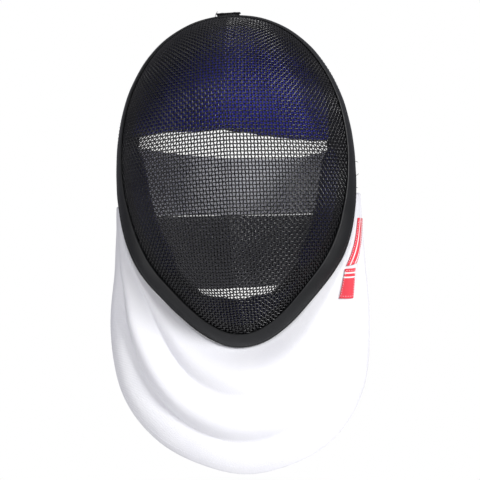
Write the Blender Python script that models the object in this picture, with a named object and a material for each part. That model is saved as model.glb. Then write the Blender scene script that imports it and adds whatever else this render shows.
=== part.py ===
"""Fencing mask as it is worn, with its bib hanging.

X runs to the viewer's right, Y backwards through the mask and Z up. The
origin is where the forehead rests on the padding. The shapes are worked out
first in mask terms: side, depth behind the front of the crease, and height
above nose level, where the crease stands furthest forward.
"""
import math
from collections import namedtuple

import bmesh
import bpy
import numpy as np

# Cage
HALF_WIDTH = 0.0980       # middle to side, at the trim's front edge
RISE = 0.1470             # nose level up to the trim's front edge at the crown
DROP = 0.1335             # nose level down to the trim's front edge at the chin
CAGE_DEPTH = 0.1110       # front of the crease back to the trim's front edge at the crown
CAGE_WALL = 0.0020        # two crossing wires
CREASE_SLOPE = math.tan(math.radians(23.5))

# Trim
TRIM_WIDTH = 0.0170
TRIM_WALL = 0.0014
SEAM_GAP = 0.00035        # kept between two touching pieces
FOLD_DEPTH = 0.0022       # from the cage's end back to the trim's rounded edge
SLOT_GAP = 0.0008         # round the cage's end, inside the fold
INNER_LIP_START = 0.0030  # the trim's inner wall starts this far behind its outer one
TRIM_FRONT_STEP = 0.0006  # height left square at the outer wall's front edge
TRIM_FRONT_BEVEL = 0.0014
TRIM_BACK_ROUND = 0.0017  # run of the rounded back edge

# Bib
BIB_HALF_WIDTH = 0.1110
BIB_SWAY = 0.0045         # how far the hem hangs over to one side
BIB_LENGTH = 0.1070       # straight down from the trim to the hem, in the middle
BIB_HEM_DEPTH = 0.0520    # front of the crease back to the hem, in the middle
BIB_SIDE_REACH = 0.0820   # how much further back the hem lies at the ears
BIB_WALL = 0.0028
BIB_BELLY = 0.0110        # how far the cloth swells out between trim and hem
BIB_LEAVE = 0.0120        # how far the cloth runs on in line with the trim, at the ears
BIB_END_ANGLE = math.radians(80.5)
FOLD_HEIGHT = 0.0090      # of the upper fold, in the middle
RIGHT_FOLD_SHARE = 0.55   # the folds are shallower on the viewer's right
RIGHT_FOLD_START = 1 / 3  # share of the way to the ear where they have become so
FOLD_LATENESS = 1.5       # above 1 moves a fold's top down towards its lower crease
HEM_ROUNDING = 0.55       # share of the last fold's height that is lost again at the hem

# Padding
PAD_SEAT_GAP = 0.0005
PAD_SEATED_FROM = 0.70       # share of the padding's width from which it lies on the mesh
PAD_SQUARENESS = 2.0         # 1 would be an oval section
PAD_END_POWER = 8
PAD_END_SHRINK = 0.75        # share of the section that is lost at each end
PAD_LEAST_WIDTH = 0.06       # as a share of the way from the crease to the rim
FOREHEAD_PAD_THICKNESS = 0.0200
FOREHEAD_PAD_AIR = 0.0080    # space to the mesh along the lower edge
PAD_LEAN = 2.0               # parts of straight back added to the way square off the mesh
BROW_HEIGHT = 0.0280         # nose level up to the lower edge, at the sides
BROW_ARCH = 0.0110           # the lower edge is this much higher in the middle
BROW_TILT = 0.100            # fall of the lower edge for each step to the viewer's right
FOREHEAD_PAD_ENDS = (math.radians(72.0), math.radians(66.0))   # from the crown, right and left
CHEEK_PAD_THICKNESS = 0.0150
CHEEK_PAD_WIDTH = 0.0160
CHIN_PAD_THICKNESS = 0.0160
CHIN_PAD_TOP = -0.1080       # height of the upper edge over nose level, in the middle
CHIN_PAD_VEE = 0.20          # rise of that edge for each step to either side
CHIN_PAD_END = math.radians(30.0)
PAD_SPACING = math.radians(2.5)
PAD_CREASE_SOFTENING = 0.0160
PAD_EDGE_INSET = 0.0030      # from the trim's front edge to the padding
SEAT_HEIGHT = 0.0580         # nose level up to where the forehead rests

# Straps
STRAP_WALL = 0.0020
STRAP_BACK_DEPTH = 0.2380
STRAP_ROUNDNESS = 0.85    # 1 would be an ellipse
BACK_STRAP_TOP = 0.0290
BACK_STRAP_WIDTH = 0.0535
STRAP_SPACING = 0.0020
NECK_STRAP_WIDTH = 0.0690
BACK_STRAP_ENDS = (math.radians(112.0), math.radians(74.0))   # upper and lower edge on the rim
NECK_STRAP_ENDS = (math.radians(72.0), math.radians(42.0))
BACK_STRAP_TILTS = (0.087, 0.045)   # fall of the upper and lower edge to the viewer's right
NECK_STRAP_TILTS = (0.045, 0.0)

# Tongue
TONGUE_WIDTH = 0.0200
TONGUE_THICKNESS = 0.0010
TONGUE_INSET = 0.0042        # from the trim's front edge
TONGUE_STATIONS = 25
TONGUE_FALL = 0.0860         # crown down to the tongue's end
TONGUE_BACK_DEPTH = 0.2320
TONGUE_PAD_WIDTH = 0.0700
TONGUE_PAD_HEIGHT = 0.0520
TONGUE_PAD_THICKNESS = 0.0140
TONGUE_PAD_RAISE = 0.0156    # tongue's end up to the middle of its padding
TONGUE_PAD_FULLNESS = 0.55   # 1 would be a plain ellipsoid
TONGUE_PAD_FACE = math.radians(84.6)   # how far its sections go towards its two faces
BRACKET_LENGTH = 0.0120
BRACKET_WALL = 0.0010
BRACKET_OVERHANG = 0.0010
BRACKET_SOFTENING = 0.0003

# Labels
LABEL_WALL = 0.0006
LABEL_GAP = 0.0006
LABEL_ROWS = 9
LABEL_COLUMNS = 5

# Number of faces
AROUND = 66
CAGE_RINGS = 11
BIB_COLUMNS = 52
FOLD_ROWS = 5
PAD_SECTION_POINTS = 12
STRAP_STATIONS = 33

TINY_STEP = 1e-3          # for slopes worked out from two nearby points
FORWARDS = np.array([0.0, -1.0, 0.0])
BACKWARDS = -FORWARDS

# The rim of the cage, from the chin up to the crown in even turns. Side is a
# share of the half width, height of the drop or the rise, depth of the cage's
# depth. Fullness and roll shape the curve from the crease out to the rim.
# Flare is the trim's lean outwards, in degrees.
RimRow = namedtuple("RimRow", "side height depth fullness roll flare")
RIM_ROWS = (
    RimRow(0.000, -1.000, 0.600, 2.75, 1.00, 46.0),
    RimRow(0.458, -0.806, 0.635, 2.85, 1.00, 47.0),
    RimRow(0.752, -0.552, 0.705, 3.10, 1.00, 52.0),
    RimRow(0.922, -0.280, 0.760, 3.40, 1.00, 43.0),
    RimRow(1.000, 0.000, 0.800, 3.60, 1.00, 26.0),
    RimRow(0.998, 0.284, 0.850, 3.50, 0.96, 17.0),
    RimRow(0.870, 0.600, 0.910, 3.30, 0.88, 13.0),
    RimRow(0.535, 0.885, 0.970, 3.10, 0.80, 9.0),
    RimRow(0.000, 1.000, 1.000, 3.00, 0.75, 5.0),
)

# The bib, from the middle out to the ear in even steps. Side is a share of
# the bib's half width, height of its length below the trim, depth of its side
# reach. Sway moves both sides over to the viewer's right. Belly and fold are
# shares of the swell and of the fold height, and the two creases are shares of
# the way from trim to hem.
BibRow = namedtuple("BibRow", "side fall depth sway belly fold upper_crease lower_crease")
BIB_ROWS = (
    BibRow(0.000, 0.990, 0.00, 0.50, 1.00, 1.00, 0.42, 0.765),
    BibRow(0.385, 0.900, 0.04, 0.90, 1.00, 1.00, 0.35, 0.735),
    BibRow(0.700, 0.700, 0.19, 0.40, 0.95, 1.00, 0.21, 0.645),
    BibRow(0.920, 0.365, 0.42, -0.25, 0.80, 0.90, 0.11, 0.510),
    BibRow(1.015, -0.100, 0.70, -0.70, 0.55, 0.50, 0.07, 0.380),
    BibRow(1.010, -0.590, 0.92, -0.50, 0.30, 0.10, 0.07, 0.340),
    BibRow(0.975, -1.225, 0.98, 0.00, 0.05, 0.00, 0.07, 0.340),
)

# The back of the head as the tongue follows it, in shares of its own run back
# from the crown and of its fall.
TongueRow = namedtuple("TongueRow", "back down")
TONGUE_ROWS = (
    TongueRow(0.00, 0.00),
    TongueRow(0.16, -0.01),
    TongueRow(0.42, 0.07),
    TongueRow(0.68, 0.24),
    TongueRow(0.88, 0.50),
    TongueRow(0.98, 0.76),
    TongueRow(1.00, 1.00),
)

# Corners of the two labels on the bib, as shares of the way from the middle
# to the ear and of the way from trim to hem.
LabelCorners = namedtuple("LabelCorners", "top_front top_back low_front low_back")
LABELS = {
    "label_upper": LabelCorners((0.870, 0.15), (0.905, 0.50), (0.610, 0.10), (0.670, 0.26)),
    "label_lower": LabelCorners((0.595, 0.10), (0.650, 0.26), (0.470, 0.19), (0.540, 0.34)),
}


def clear_scene():
    for thing in list(bpy.data.objects):
        bpy.data.objects.remove(thing, do_unlink=True)


def make_material(name, colour, roughness, metallic=0.0):
    material = bpy.data.materials.new(name)
    material.use_nodes = True
    shader = material.node_tree.nodes["Principled BSDF"]
    shader.inputs["Base Color"].default_value = (*colour, 1.0)
    shader.inputs["Roughness"].default_value = roughness
    shader.inputs["Metallic"].default_value = metallic
    return material


def column(rows, name):
    return np.array([getattr(row, name) for row in rows])


def round_the_rim(values, angles, mirrored=False):
    """Smooth curve through one value a row over half a turn: a sum of cosines,
    or of sines where the value changes sign from one side to the other."""
    steps = np.arange(len(values))
    turns = steps * math.pi / (len(values) - 1)
    wave = np.sin if mirrored else np.cos
    weights = np.linalg.lstsq(wave(np.outer(turns, steps)), values, rcond=None)[0]
    return wave(np.multiply.outer(angles, steps)) @ weights


def along_rows(values, share, level_start=False):
    """Smooth curve through the rows by cubic pieces whose slopes are the mean
    of the slopes on either side. A level start joins its own mirror image."""
    values = np.asarray(values, dtype=float)
    slopes = np.gradient(values)
    if level_start:
        slopes[0] = 0.0
    place = np.clip(share, 0.0, 1.0) * (len(values) - 1)
    low = np.clip(np.floor(place).astype(int), 0, len(values) - 2)
    t = place - low
    start = (2 * t**3 - 3 * t**2 + 1) * values[low] + (t**3 - 2 * t**2 + t) * slopes[low]
    end = (3 * t**2 - 2 * t**3) * values[low + 1] + (t**3 - t**2) * slopes[low + 1]
    return start + end


def stack(side, depth, up):
    return np.stack(np.broadcast_arrays(side, depth, up), axis=-1)


def unit(vectors):
    return vectors / np.linalg.norm(vectors, axis=-1, keepdims=True)


Rim = namedtuple("Rim", "side up depth fullness roll flare")


def rim_at(angles):
    """The cage's line under the trim's front edge. The angle starts straight
    down at the chin and turns through the viewer's right to the crown."""
    heights = column(RIM_ROWS, "height")
    heights = np.where(heights < 0, heights * DROP, heights * RISE)
    return Rim(
        side=round_the_rim(column(RIM_ROWS, "side") * HALF_WIDTH, angles, mirrored=True),
        up=round_the_rim(heights, angles),
        depth=round_the_rim(column(RIM_ROWS, "depth") * CAGE_DEPTH, angles),
        fullness=round_the_rim(column(RIM_ROWS, "fullness"), angles),
        roll=round_the_rim(column(RIM_ROWS, "roll"), angles),
        flare=np.radians(round_the_rim(column(RIM_ROWS, "flare"), angles)),
    )


def dome(angles, share, softening=0.0):
    """A point on the cage's outer face, share of the way from the crease's
    front to the trim. Depth is the crease's two slopes plus a swell that
    grows as a power of the share and rolls over near the rim."""
    rim = rim_at(angles)
    side = rim.side * share
    slope = CREASE_SLOPE * np.hypot(side, softening)
    rim_slope = CREASE_SLOPE * np.hypot(rim.side, softening)
    swell = 1.0 - np.maximum(1.0 - share**rim.fullness, 0.0)**rim.roll
    depth = slope + (rim.depth - rim_slope) * swell
    return stack(side, depth, rim.up * share)


def dome_inward(angles, share, softening=0.0):
    """The unit direction from the cage's face into the mask."""
    ahead = dome(angles + TINY_STEP, share, softening)
    behind = dome(angles - TINY_STEP, share, softening)
    inner = dome(angles, share - TINY_STEP, softening)
    outward = dome(angles, share, softening) - inner
    return unit(np.cross(ahead - behind, outward))


TrimFrame = namedtuple("TrimFrame", "front along out")


def trim_frame(angles):
    """The trim's front line on the cage, with the direction across the strip
    towards the back and the direction square out of it."""
    rim = rim_at(angles)
    ahead = rim_at(angles + TINY_STEP)
    behind = rim_at(angles - TINY_STEP)
    outwards = unit(stack(ahead.up - behind.up, 0.0, behind.side - ahead.side))
    lean = rim.flare[..., None]
    along = outwards * np.sin(lean) + BACKWARDS * np.cos(lean)
    out = outwards * np.cos(lean) - BACKWARDS * np.sin(lean)
    return TrimFrame(stack(rim.side, rim.depth, rim.up), along, out)


def trim_point(frame, along, out):
    return frame.front + along * frame.along + out * frame.out


def pad_through(inward):
    """The way through the padding: off the mesh, and leaning straight back."""
    return unit(inward + PAD_LEAN * BACKWARDS)


def pad_standing(air, way):
    """How far padding stands off the mesh: by the air along its free edge,
    and next to nothing where it is seated near the rim."""
    return PAD_SEAT_GAP + air * np.maximum(PAD_SEATED_FROM - way, 0.0) / PAD_SEATED_FROM


def seat_point():
    """Where the forehead rests: the inner face of its padding, in the middle."""
    angle = np.array([math.pi])
    rim = rim_at(angle)
    share = SEAT_HEIGHT / rim.up
    pad_share = forehead_low_share(angle)
    way = (share - pad_share) / (outer_pad_share(angle) - pad_share)
    inset = CAGE_WALL + pad_standing(FOREHEAD_PAD_AIR, way)
    face = dome(angle, share, PAD_CREASE_SOFTENING)
    inward = dome_inward(angle, share, PAD_CREASE_SOFTENING)
    outer_face = face + inset[:, None] * inward
    return (outer_face + FOREHEAD_PAD_THICKNESS * pad_through(inward))[0]


def to_world(points):
    return points - seat_point()


def faces_towards(verts, faces, direction):
    """The faces of a sheet, all turned over if they look the other way."""
    corners = np.array([verts[face[:3]] for face in faces])
    normals = np.cross(corners[:, 1] - corners[:, 0], corners[:, 2] - corners[:, 0])
    if normals.sum(axis=0) @ direction < 0.0:
        return [face[::-1] for face in faces]
    return faces


def make_object(name, verts, faces, material, smooth_angle=40.0):
    mesh = bpy.data.meshes.new(name)
    mesh.from_pydata(to_world(verts).tolist(), [], faces)
    mesh.shade_smooth()
    mesh.set_sharp_from_angle(angle=math.radians(smooth_angle))
    mesh.materials.append(material)
    thing = bpy.data.objects.new(name, mesh)
    bpy.context.scene.collection.objects.link(thing)
    return thing


def make_sheet(name, verts, faces, material, wall, looks, smooth_angle=40.0):
    """An open sheet that looks one way, with a wall that grows inwards from
    the modelled face."""
    faces = faces_towards(verts, faces, looks)
    thing = make_object(name, verts, faces, material, smooth_angle)
    solidify = thing.modifiers.new("wall", "SOLIDIFY")
    solidify.thickness = wall
    solidify.offset = -1.0
    solidify.use_even_offset = True
    return thing


def grid_faces(rows, columns, closed_rows=False, closed_columns=False):
    """Quads over a grid of points, seen with columns to the right and rows up."""
    row = np.arange(rows if closed_rows else rows - 1)
    col = np.arange(columns if closed_columns else columns - 1)
    row, col = np.meshgrid(row, col, indexing="ij")
    next_row = (row + 1) % rows
    next_col = (col + 1) % columns
    corners = (
        row * columns + col,
        row * columns + next_col,
        next_row * columns + next_col,
        next_row * columns + col,
    )
    return np.stack(corners, axis=-1).reshape(-1, 4).tolist()


def swept(name, loops, material, closed):
    """A solid through section loops, each a row of points round the section."""
    stations, points = loops.shape[:2]
    faces = grid_faces(stations, points, closed_rows=closed, closed_columns=True)
    if not closed:
        faces.append(list(range(points)))
        faces.append([(stations - 1) * points + k for k in reversed(range(points))])
    thing = make_object(name, loops.reshape(-1, 3), faces, material)
    work = bmesh.new()
    work.from_mesh(thing.data)
    bmesh.ops.recalc_face_normals(work, faces=work.faces)
    work.to_mesh(thing.data)
    work.free()
    return thing


def ring_angles():
    return np.arange(AROUND) * 2.0 * math.pi / AROUND


def make_cage(material):
    angles = ring_angles()
    shares = np.linspace(0.0, 1.0, CAGE_RINGS + 1)[1:]
    rings = [dome(angles, share) for share in shares]
    frame = trim_frame(angles)
    under_trim = TRIM_WIDTH - FOLD_DEPTH
    rings.append(trim_point(frame, under_trim / 2.0, 0.0))
    rings.append(trim_point(frame, under_trim, 0.0))
    verts = np.concatenate([np.reshape(rings, (-1, 3)), dome(np.zeros(1), 0.0)])
    faces = grid_faces(len(rings), AROUND, closed_columns=True)
    front = len(verts) - 1
    faces += [[front, (k + 1) % AROUND, k] for k in range(AROUND)]
    return make_sheet("mesh_cage", verts, faces, material, CAGE_WALL, FORWARDS)


def make_trim(material):
    """A folded strip: outer wall, rounded back edge and inner wall, with a
    slot between them for the cage."""
    frame = trim_frame(ring_angles())
    slot_out = SEAM_GAP
    slot_in = -CAGE_WALL - SLOT_GAP
    top = slot_out + TRIM_WALL
    low = slot_in - TRIM_WALL
    slot_end = TRIM_WIDTH - FOLD_DEPTH + SLOT_GAP
    middle = (top + low) / 2.0
    section = [
        (0.0, slot_out),
        (0.0, slot_out + TRIM_FRONT_STEP),
        (TRIM_FRONT_BEVEL, top),
        (TRIM_WIDTH / 2.0, top),
    ]
    for turn in np.linspace(math.pi / 2.0, -math.pi / 2.0, 5):
        along = TRIM_WIDTH + TRIM_BACK_ROUND * (math.cos(turn) - 1.0)
        section.append((along, middle + (top - middle) * math.sin(turn)))
    section += [
        (INNER_LIP_START, low),
        (INNER_LIP_START, slot_in),
        (slot_end, slot_in),
        (slot_end, slot_out),
    ]
    loops = np.stack([trim_point(frame, along, out) for along, out in section], axis=1)
    return swept("edge_trim", loops, material, closed=True)


def outer_pad_share(angles):
    rim = rim_at(angles)
    return 1.0 - PAD_EDGE_INSET / np.hypot(rim.side, rim.up)


def forehead_low_share(angles):
    """Share at which the padding's lower edge crosses each direction: a line
    at brow height that arches up in the middle and tilts to one side."""
    rim = rim_at(angles)
    reach = np.hypot(rim.side, rim.up)
    middle = rim.up / reach
    return (BROW_HEIGHT + BROW_ARCH * middle) / (rim.up + BROW_TILT * rim.side)


def cheek_low_share(angles):
    rim = rim_at(angles)
    return outer_pad_share(angles) - CHEEK_PAD_WIDTH / np.hypot(rim.side, rim.up)


def chin_low_share(angles):
    """Share at which the chin's upper edge, a shallow V, crosses each
    direction."""
    rim = rim_at(angles)
    return CHIN_PAD_TOP / (rim.up - CHIN_PAD_VEE * np.abs(rim.side))


def signed_power(values, power):
    return np.sign(values) * np.abs(values)**power


def rounded_section():
    """Way across and way through a padded section: a rounded rectangle."""
    turn = (np.arange(PAD_SECTION_POINTS) + 0.5) * 2.0 * math.pi / PAD_SECTION_POINTS
    across = signed_power(np.cos(turn), 1.0 / PAD_SQUARENESS)
    through = signed_power(np.sin(turn), 1.0 / PAD_SQUARENESS)
    return across, through


def make_pad(name, material, start, end, low_share, thickness, air, stations):
    """Padding inside the cage between two directions. Each station is a
    rounded section that hugs the mesh at the rim and stands off it by the air
    along its free edge. The sections shrink to a blunt end."""
    angles = np.linspace(start, end, stations)
    way = np.linspace(-1.0, 1.0, stations)
    blunt = (1.0 - np.abs(way)**PAD_END_POWER * PAD_END_SHRINK)[:, None]
    across, through = rounded_section()
    high = outer_pad_share(angles)[:, None]
    low = np.minimum(low_share(angles)[:, None], high - PAD_LEAST_WIDTH)
    centre = (low + high) / 2.0
    share = centre + across * (high - low) / 2.0 * blunt
    standing = pad_standing(air, (1.0 + across) / 2.0)
    depth = thickness * (1.0 + through) / 2.0 * blunt
    turned = np.broadcast_to(angles[:, None], share.shape)
    face = dome(turned, share, PAD_CREASE_SOFTENING)
    inward = dome_inward(turned, share, PAD_CREASE_SOFTENING)
    loops = face + (CAGE_WALL + standing)[..., None] * inward + depth[..., None] * pad_through(inward)
    return swept(name, loops, material, closed=False)


def bib_column(name, far):
    """One column of the bib's table, the same on both sides of the middle."""
    return along_rows(column(BIB_ROWS, name), far, level_start=name != "side")


def bib_base(share, way):
    """The bib without folds. Share runs from the middle to the ear and is
    negative on the viewer's left; way runs from trim to hem on a curve with
    one control point. In the middle the belly pushes that point out square to
    the cloth, and towards the ears it lies in line with the trim."""
    far = np.abs(share)
    frame = trim_frame(share * BIB_END_ANGLE)
    edge = trim_point(frame, TRIM_WIDTH + SEAM_GAP, SEAM_GAP)
    trim_low = trim_point(trim_frame(np.zeros(1)), TRIM_WIDTH, 0.0)[0, 2]
    side = np.sign(share) * bib_column("side", far) * BIB_HALF_WIDTH
    side = side + BIB_SWAY * bib_column("sway", far)
    up = trim_low - bib_column("fall", far) * BIB_LENGTH
    depth = BIB_HEM_DEPTH + bib_column("depth", far) * BIB_SIDE_REACH
    hem = stack(side, depth, up)
    across = unit(hem - edge)
    centre_line = stack(0.0, STRAP_BACK_DEPTH / 2.0, edge[..., 2])
    away = (edge + hem) / 2.0 - centre_line
    away = unit(away - np.sum(away * across, axis=-1, keepdims=True) * across)
    belly = bib_column("belly", far)[..., None]
    swollen = (edge + hem) / 2.0 + 2.0 * belly * BIB_BELLY * away
    in_line = edge + BIB_LEAVE * frame.along
    control = belly * swollen + (1.0 - belly) * in_line
    t = np.asarray(way)[..., None]
    return (1 - t)**2 * edge + 2 * t * (1 - t) * control + t**2 * hem


def crease_ways(share):
    """Trim, upper crease, lower crease and hem, as ways down the bib."""
    far = np.abs(share)
    upper = bib_column("upper_crease", far)
    lower = bib_column("lower_crease", far)
    return np.stack([np.zeros_like(upper), upper, lower, np.ones_like(upper)])


def bib_face(share, way):
    """The bib's outer face. Each fold swells slowly from the crease above it
    and drops fast into the next, and the last one rounds off at the hem."""
    share, way = np.broadcast_arrays(share, way)
    marks = crease_ways(share)
    fold = (way > marks[1]).astype(int) + (way > marks[2]).astype(int)
    start = np.take_along_axis(marks, fold[None], axis=0)[0]
    end = np.take_along_axis(marks, fold[None] + 1, axis=0)[0]
    inside = np.clip((way - start) / (end - start), 0.0, 1.0)
    swell = np.sin(math.pi * inside**FOLD_LATENESS)
    last = np.sin(math.pi / 2.0 * inside) * (1.0 - HEM_ROUNDING * inside**3)
    swell = np.where(fold == 2, last, swell)
    sided = 1.0 + (RIGHT_FOLD_SHARE - 1.0) * np.clip(share / RIGHT_FOLD_START, 0.0, 1.0)
    length = (end - start) / BIB_ROWS[0].upper_crease
    height = FOLD_HEIGHT * length * bib_column("fold", np.abs(share)) * sided * swell
    return bib_base(share, way) + height[..., None] * bib_out(share, way)


def bib_out(share, way):
    """The unit direction square out of the unfolded cloth."""
    way = np.clip(way, TINY_STEP, 1.0 - TINY_STEP)
    round_it = bib_base(share + TINY_STEP, way) - bib_base(share - TINY_STEP, way)
    down_it = bib_base(share, way + TINY_STEP) - bib_base(share, way - TINY_STEP)
    return unit(np.cross(down_it, round_it))


def make_bib(material):
    """The cloth on a grid whose rows fall on the creases."""
    share = np.linspace(-1.0, 1.0, BIB_COLUMNS + 1)
    marks = crease_ways(share)
    part_way = np.linspace(0.0, 1.0, FOLD_ROWS + 1)[:, None]
    rows = [marks[k] + (marks[k + 1] - marks[k]) * part_way[int(k > 0):] for k in range(3)]
    way = np.concatenate(rows)
    verts = bib_face(share, way).reshape(-1, 3)
    faces = grid_faces(*way.shape)
    return make_sheet("bib", verts, faces, material, BIB_WALL, FORWARDS, smooth_angle=60.0)


def make_strap(name, material, ends, top, width, tilts):
    """Elastic from one side of the trim round the back of the head to the
    other. Its ends follow the trim's inner face, and behind the head each
    edge has a level and a tilt. Seen from above it is an oval with full
    corners."""
    turn = np.linspace(0.0, math.pi, STRAP_STATIONS)
    across = signed_power(np.cos(turn), STRAP_ROUNDNESS)
    back = np.sin(turn)**STRAP_ROUNDNESS
    inner_face = -(CAGE_WALL + SLOT_GAP + TRIM_WALL + SEAM_GAP)
    loops = []
    for through in (0.0, STRAP_WALL):
        for angle, level, tilt in zip(ends, (top, top - width), tilts):
            frame = trim_frame(np.array([angle]))
            start = trim_point(frame, TRIM_WIDTH - FOLD_DEPTH, inner_face)[0]
            side = (start[0] - through) * across
            depth = start[1] + (STRAP_BACK_DEPTH - through - start[1]) * back
            up = start[2] + (level - tilt * side - start[2]) * back
            loops.append(stack(side, depth, up))
    outer_top, outer_low, inner_top, inner_low = loops
    section = np.stack([outer_low, outer_top, inner_top, inner_low], axis=1)
    return swept(name, section, material, closed=False)


def crown_frame():
    return trim_frame(np.array([math.pi]))


def tongue_path(share):
    """The tongue's under face, from on top of the trim at the crown down
    behind the head."""
    start = trim_point(crown_frame(), TONGUE_INSET, 2.0 * SEAM_GAP + TRIM_WALL)[0]
    back = along_rows(column(TONGUE_ROWS, "back"), share)
    down = along_rows(column(TONGUE_ROWS, "down"), share)
    depth = start[1] + back * (TONGUE_BACK_DEPTH - start[1])
    return stack(0.0, depth, start[2] - down * TONGUE_FALL)


def path_normals(points):
    along = unit(np.gradient(points, axis=0))
    return np.cross(along, np.array([1.0, 0.0, 0.0]))


def make_tongue(material):
    under = tongue_path(np.linspace(0.0, 1.0, TONGUE_STATIONS))
    lift = path_normals(under)
    lift = lift * np.sign(lift[0, 2])
    half = np.array([TONGUE_WIDTH / 2.0, 0.0, 0.0])
    over = under + TONGUE_THICKNESS * lift
    section = np.stack([under - half, under + half, over + half, over - half], axis=1)
    return swept("tongue_spring", section, material, closed=False)


def make_bracket(material):
    """A plate that clamps the tongue to the trim at the crown."""
    frame = crown_frame()
    low = 2.0 * SEAM_GAP + TRIM_WALL + TONGUE_THICKNESS + SEAM_GAP
    high = low + BRACKET_WALL
    front = TONGUE_INSET - BRACKET_OVERHANG
    half = TONGUE_WIDTH / 2.0 + BRACKET_OVERHANG
    sections = []
    for along in (front, front + BRACKET_LENGTH):
        for side, out in ((-half, low), (half, low), (half, high), (-half, high)):
            middle = trim_point(frame, along, out)[0]
            sections.append(middle + np.array([side, 0.0, 0.0]))
    loops = np.array(sections).reshape(2, 4, 3)
    plate = swept("tongue_bracket", loops, material, closed=False)
    bevel = plate.modifiers.new("soft edges", "BEVEL")
    bevel.width = BRACKET_SOFTENING
    bevel.segments = 1
    return plate


def make_tongue_pad(material):
    """A flat padded disc in front of the tongue's end."""
    rings = 8
    points = 20
    tilt = np.linspace(-TONGUE_PAD_FACE, TONGUE_PAD_FACE, rings)
    turn = np.arange(points) * 2.0 * math.pi / points
    tilt, turn = np.meshgrid(tilt, turn, indexing="ij")
    reach = np.cos(tilt)**TONGUE_PAD_FULLNESS
    end = tongue_path(np.array([1.0]))[0]
    side = TONGUE_PAD_WIDTH / 2.0 * reach * np.cos(turn)
    up = end[2] + TONGUE_PAD_RAISE + TONGUE_PAD_HEIGHT / 2.0 * reach * np.sin(turn)
    centre = end[1] + tongue_lean(up) - TONGUE_PAD_THICKNESS / 2.0 - SEAM_GAP
    depth = centre + TONGUE_PAD_THICKNESS / 2.0 * np.sin(tilt)
    return swept("tongue_pad", stack(side, depth, up), material, closed=False)


def tongue_lean(up):
    """How far the tongue lies in front of its own end, at each height."""
    fine = tongue_path(np.linspace(0.0, 1.0, 60))
    order = np.argsort(fine[:, 2])
    return np.interp(up, fine[order, 2], fine[order, 1]) - fine[-1, 1]


def make_label(name, corners, material):
    """A thin patch that follows the bib between four corners."""
    down = np.linspace(0.0, 1.0, LABEL_ROWS)
    across = np.linspace(0.0, 1.0, LABEL_COLUMNS)
    down, across = np.meshgrid(down, across, indexing="ij")
    down = down[..., None]
    across = across[..., None]
    front = np.array(corners.top_front) * (1 - down) + np.array(corners.low_front) * down
    back = np.array(corners.top_back) * (1 - down) + np.array(corners.low_back) * down
    place = front * (1 - across) + back * across
    share = place[..., 0]
    way = place[..., 1]
    out = bib_out(share, way)
    verts = (bib_face(share, way) + (LABEL_GAP + LABEL_WALL) * out).reshape(-1, 3)
    looks = out.reshape(-1, 3).mean(axis=0)
    faces = grid_faces(LABEL_ROWS, LABEL_COLUMNS)
    return make_sheet(name, verts, faces, material, LABEL_WALL, looks)


def main():
    clear_scene()
    wire = make_material("wire", (0.020, 0.021, 0.022), 0.45, 0.6)
    trim = make_material("trim", (0.012, 0.012, 0.013), 0.55)
    white_cloth = make_material("white_cloth", (0.80, 0.80, 0.84), 0.85)
    blue_cloth = make_material("blue_cloth", (0.020, 0.022, 0.20), 0.85)
    navy_cloth = make_material("navy_cloth", (0.008, 0.008, 0.035), 0.85)
    grey_elastic = make_material("grey_elastic", (0.35, 0.35, 0.37), 0.85)
    dark_elastic = make_material("dark_elastic", (0.05, 0.05, 0.055), 0.85)
    spring = make_material("spring_steel", (0.02, 0.02, 0.02), 0.35, 0.8)
    label = make_material("label_red", (0.72, 0.03, 0.06), 0.6)

    make_cage(wire)
    make_trim(trim)
    make_bib(white_cloth)
    right_end, left_end = FOREHEAD_PAD_ENDS
    make_pad(
        "forehead_pad", blue_cloth, math.pi - right_end, math.pi + left_end,
        forehead_low_share, FOREHEAD_PAD_THICKNESS, FOREHEAD_PAD_AIR, stations=27,
    )
    cheek_start = CHIN_PAD_END + PAD_SPACING
    for name, sign, above in (("cheek_pad_left", -1.0, left_end), ("cheek_pad_right", 1.0, right_end)):
        make_pad(
            name, navy_cloth, sign * cheek_start, sign * (math.pi - above - PAD_SPACING),
            cheek_low_share, CHEEK_PAD_THICKNESS, 0.0, stations=14,
        )
    make_pad(
        "chin_pad", navy_cloth, -CHIN_PAD_END, CHIN_PAD_END,
        chin_low_share, CHIN_PAD_THICKNESS, 0.0, stations=17,
    )
    make_strap(
        "back_strap", grey_elastic, BACK_STRAP_ENDS, BACK_STRAP_TOP, BACK_STRAP_WIDTH, BACK_STRAP_TILTS,
    )
    neck_top = BACK_STRAP_TOP - BACK_STRAP_WIDTH - STRAP_SPACING
    make_strap(
        "neck_strap", dark_elastic, NECK_STRAP_ENDS, neck_top, NECK_STRAP_WIDTH, NECK_STRAP_TILTS,
    )
    make_tongue(spring)
    make_bracket(spring)
    make_tongue_pad(dark_elastic)
    for name, corners in LABELS.items():
        make_label(name, corners, label)


main()
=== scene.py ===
# %% [markdown]
# # A fencing mask, held as it is worn
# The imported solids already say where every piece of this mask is. This lesson
# dresses them: a cage of real crossing wires, a padded white bib, a folded
# trim, puffed padding, ribbed elastic and two sewn labels. Each step first says
# what the piece is on the real mask, then how it is made here and why.

import math
from collections import namedtuple

import bpy
import numpy as np
from mathutils import Matrix, Vector


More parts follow.
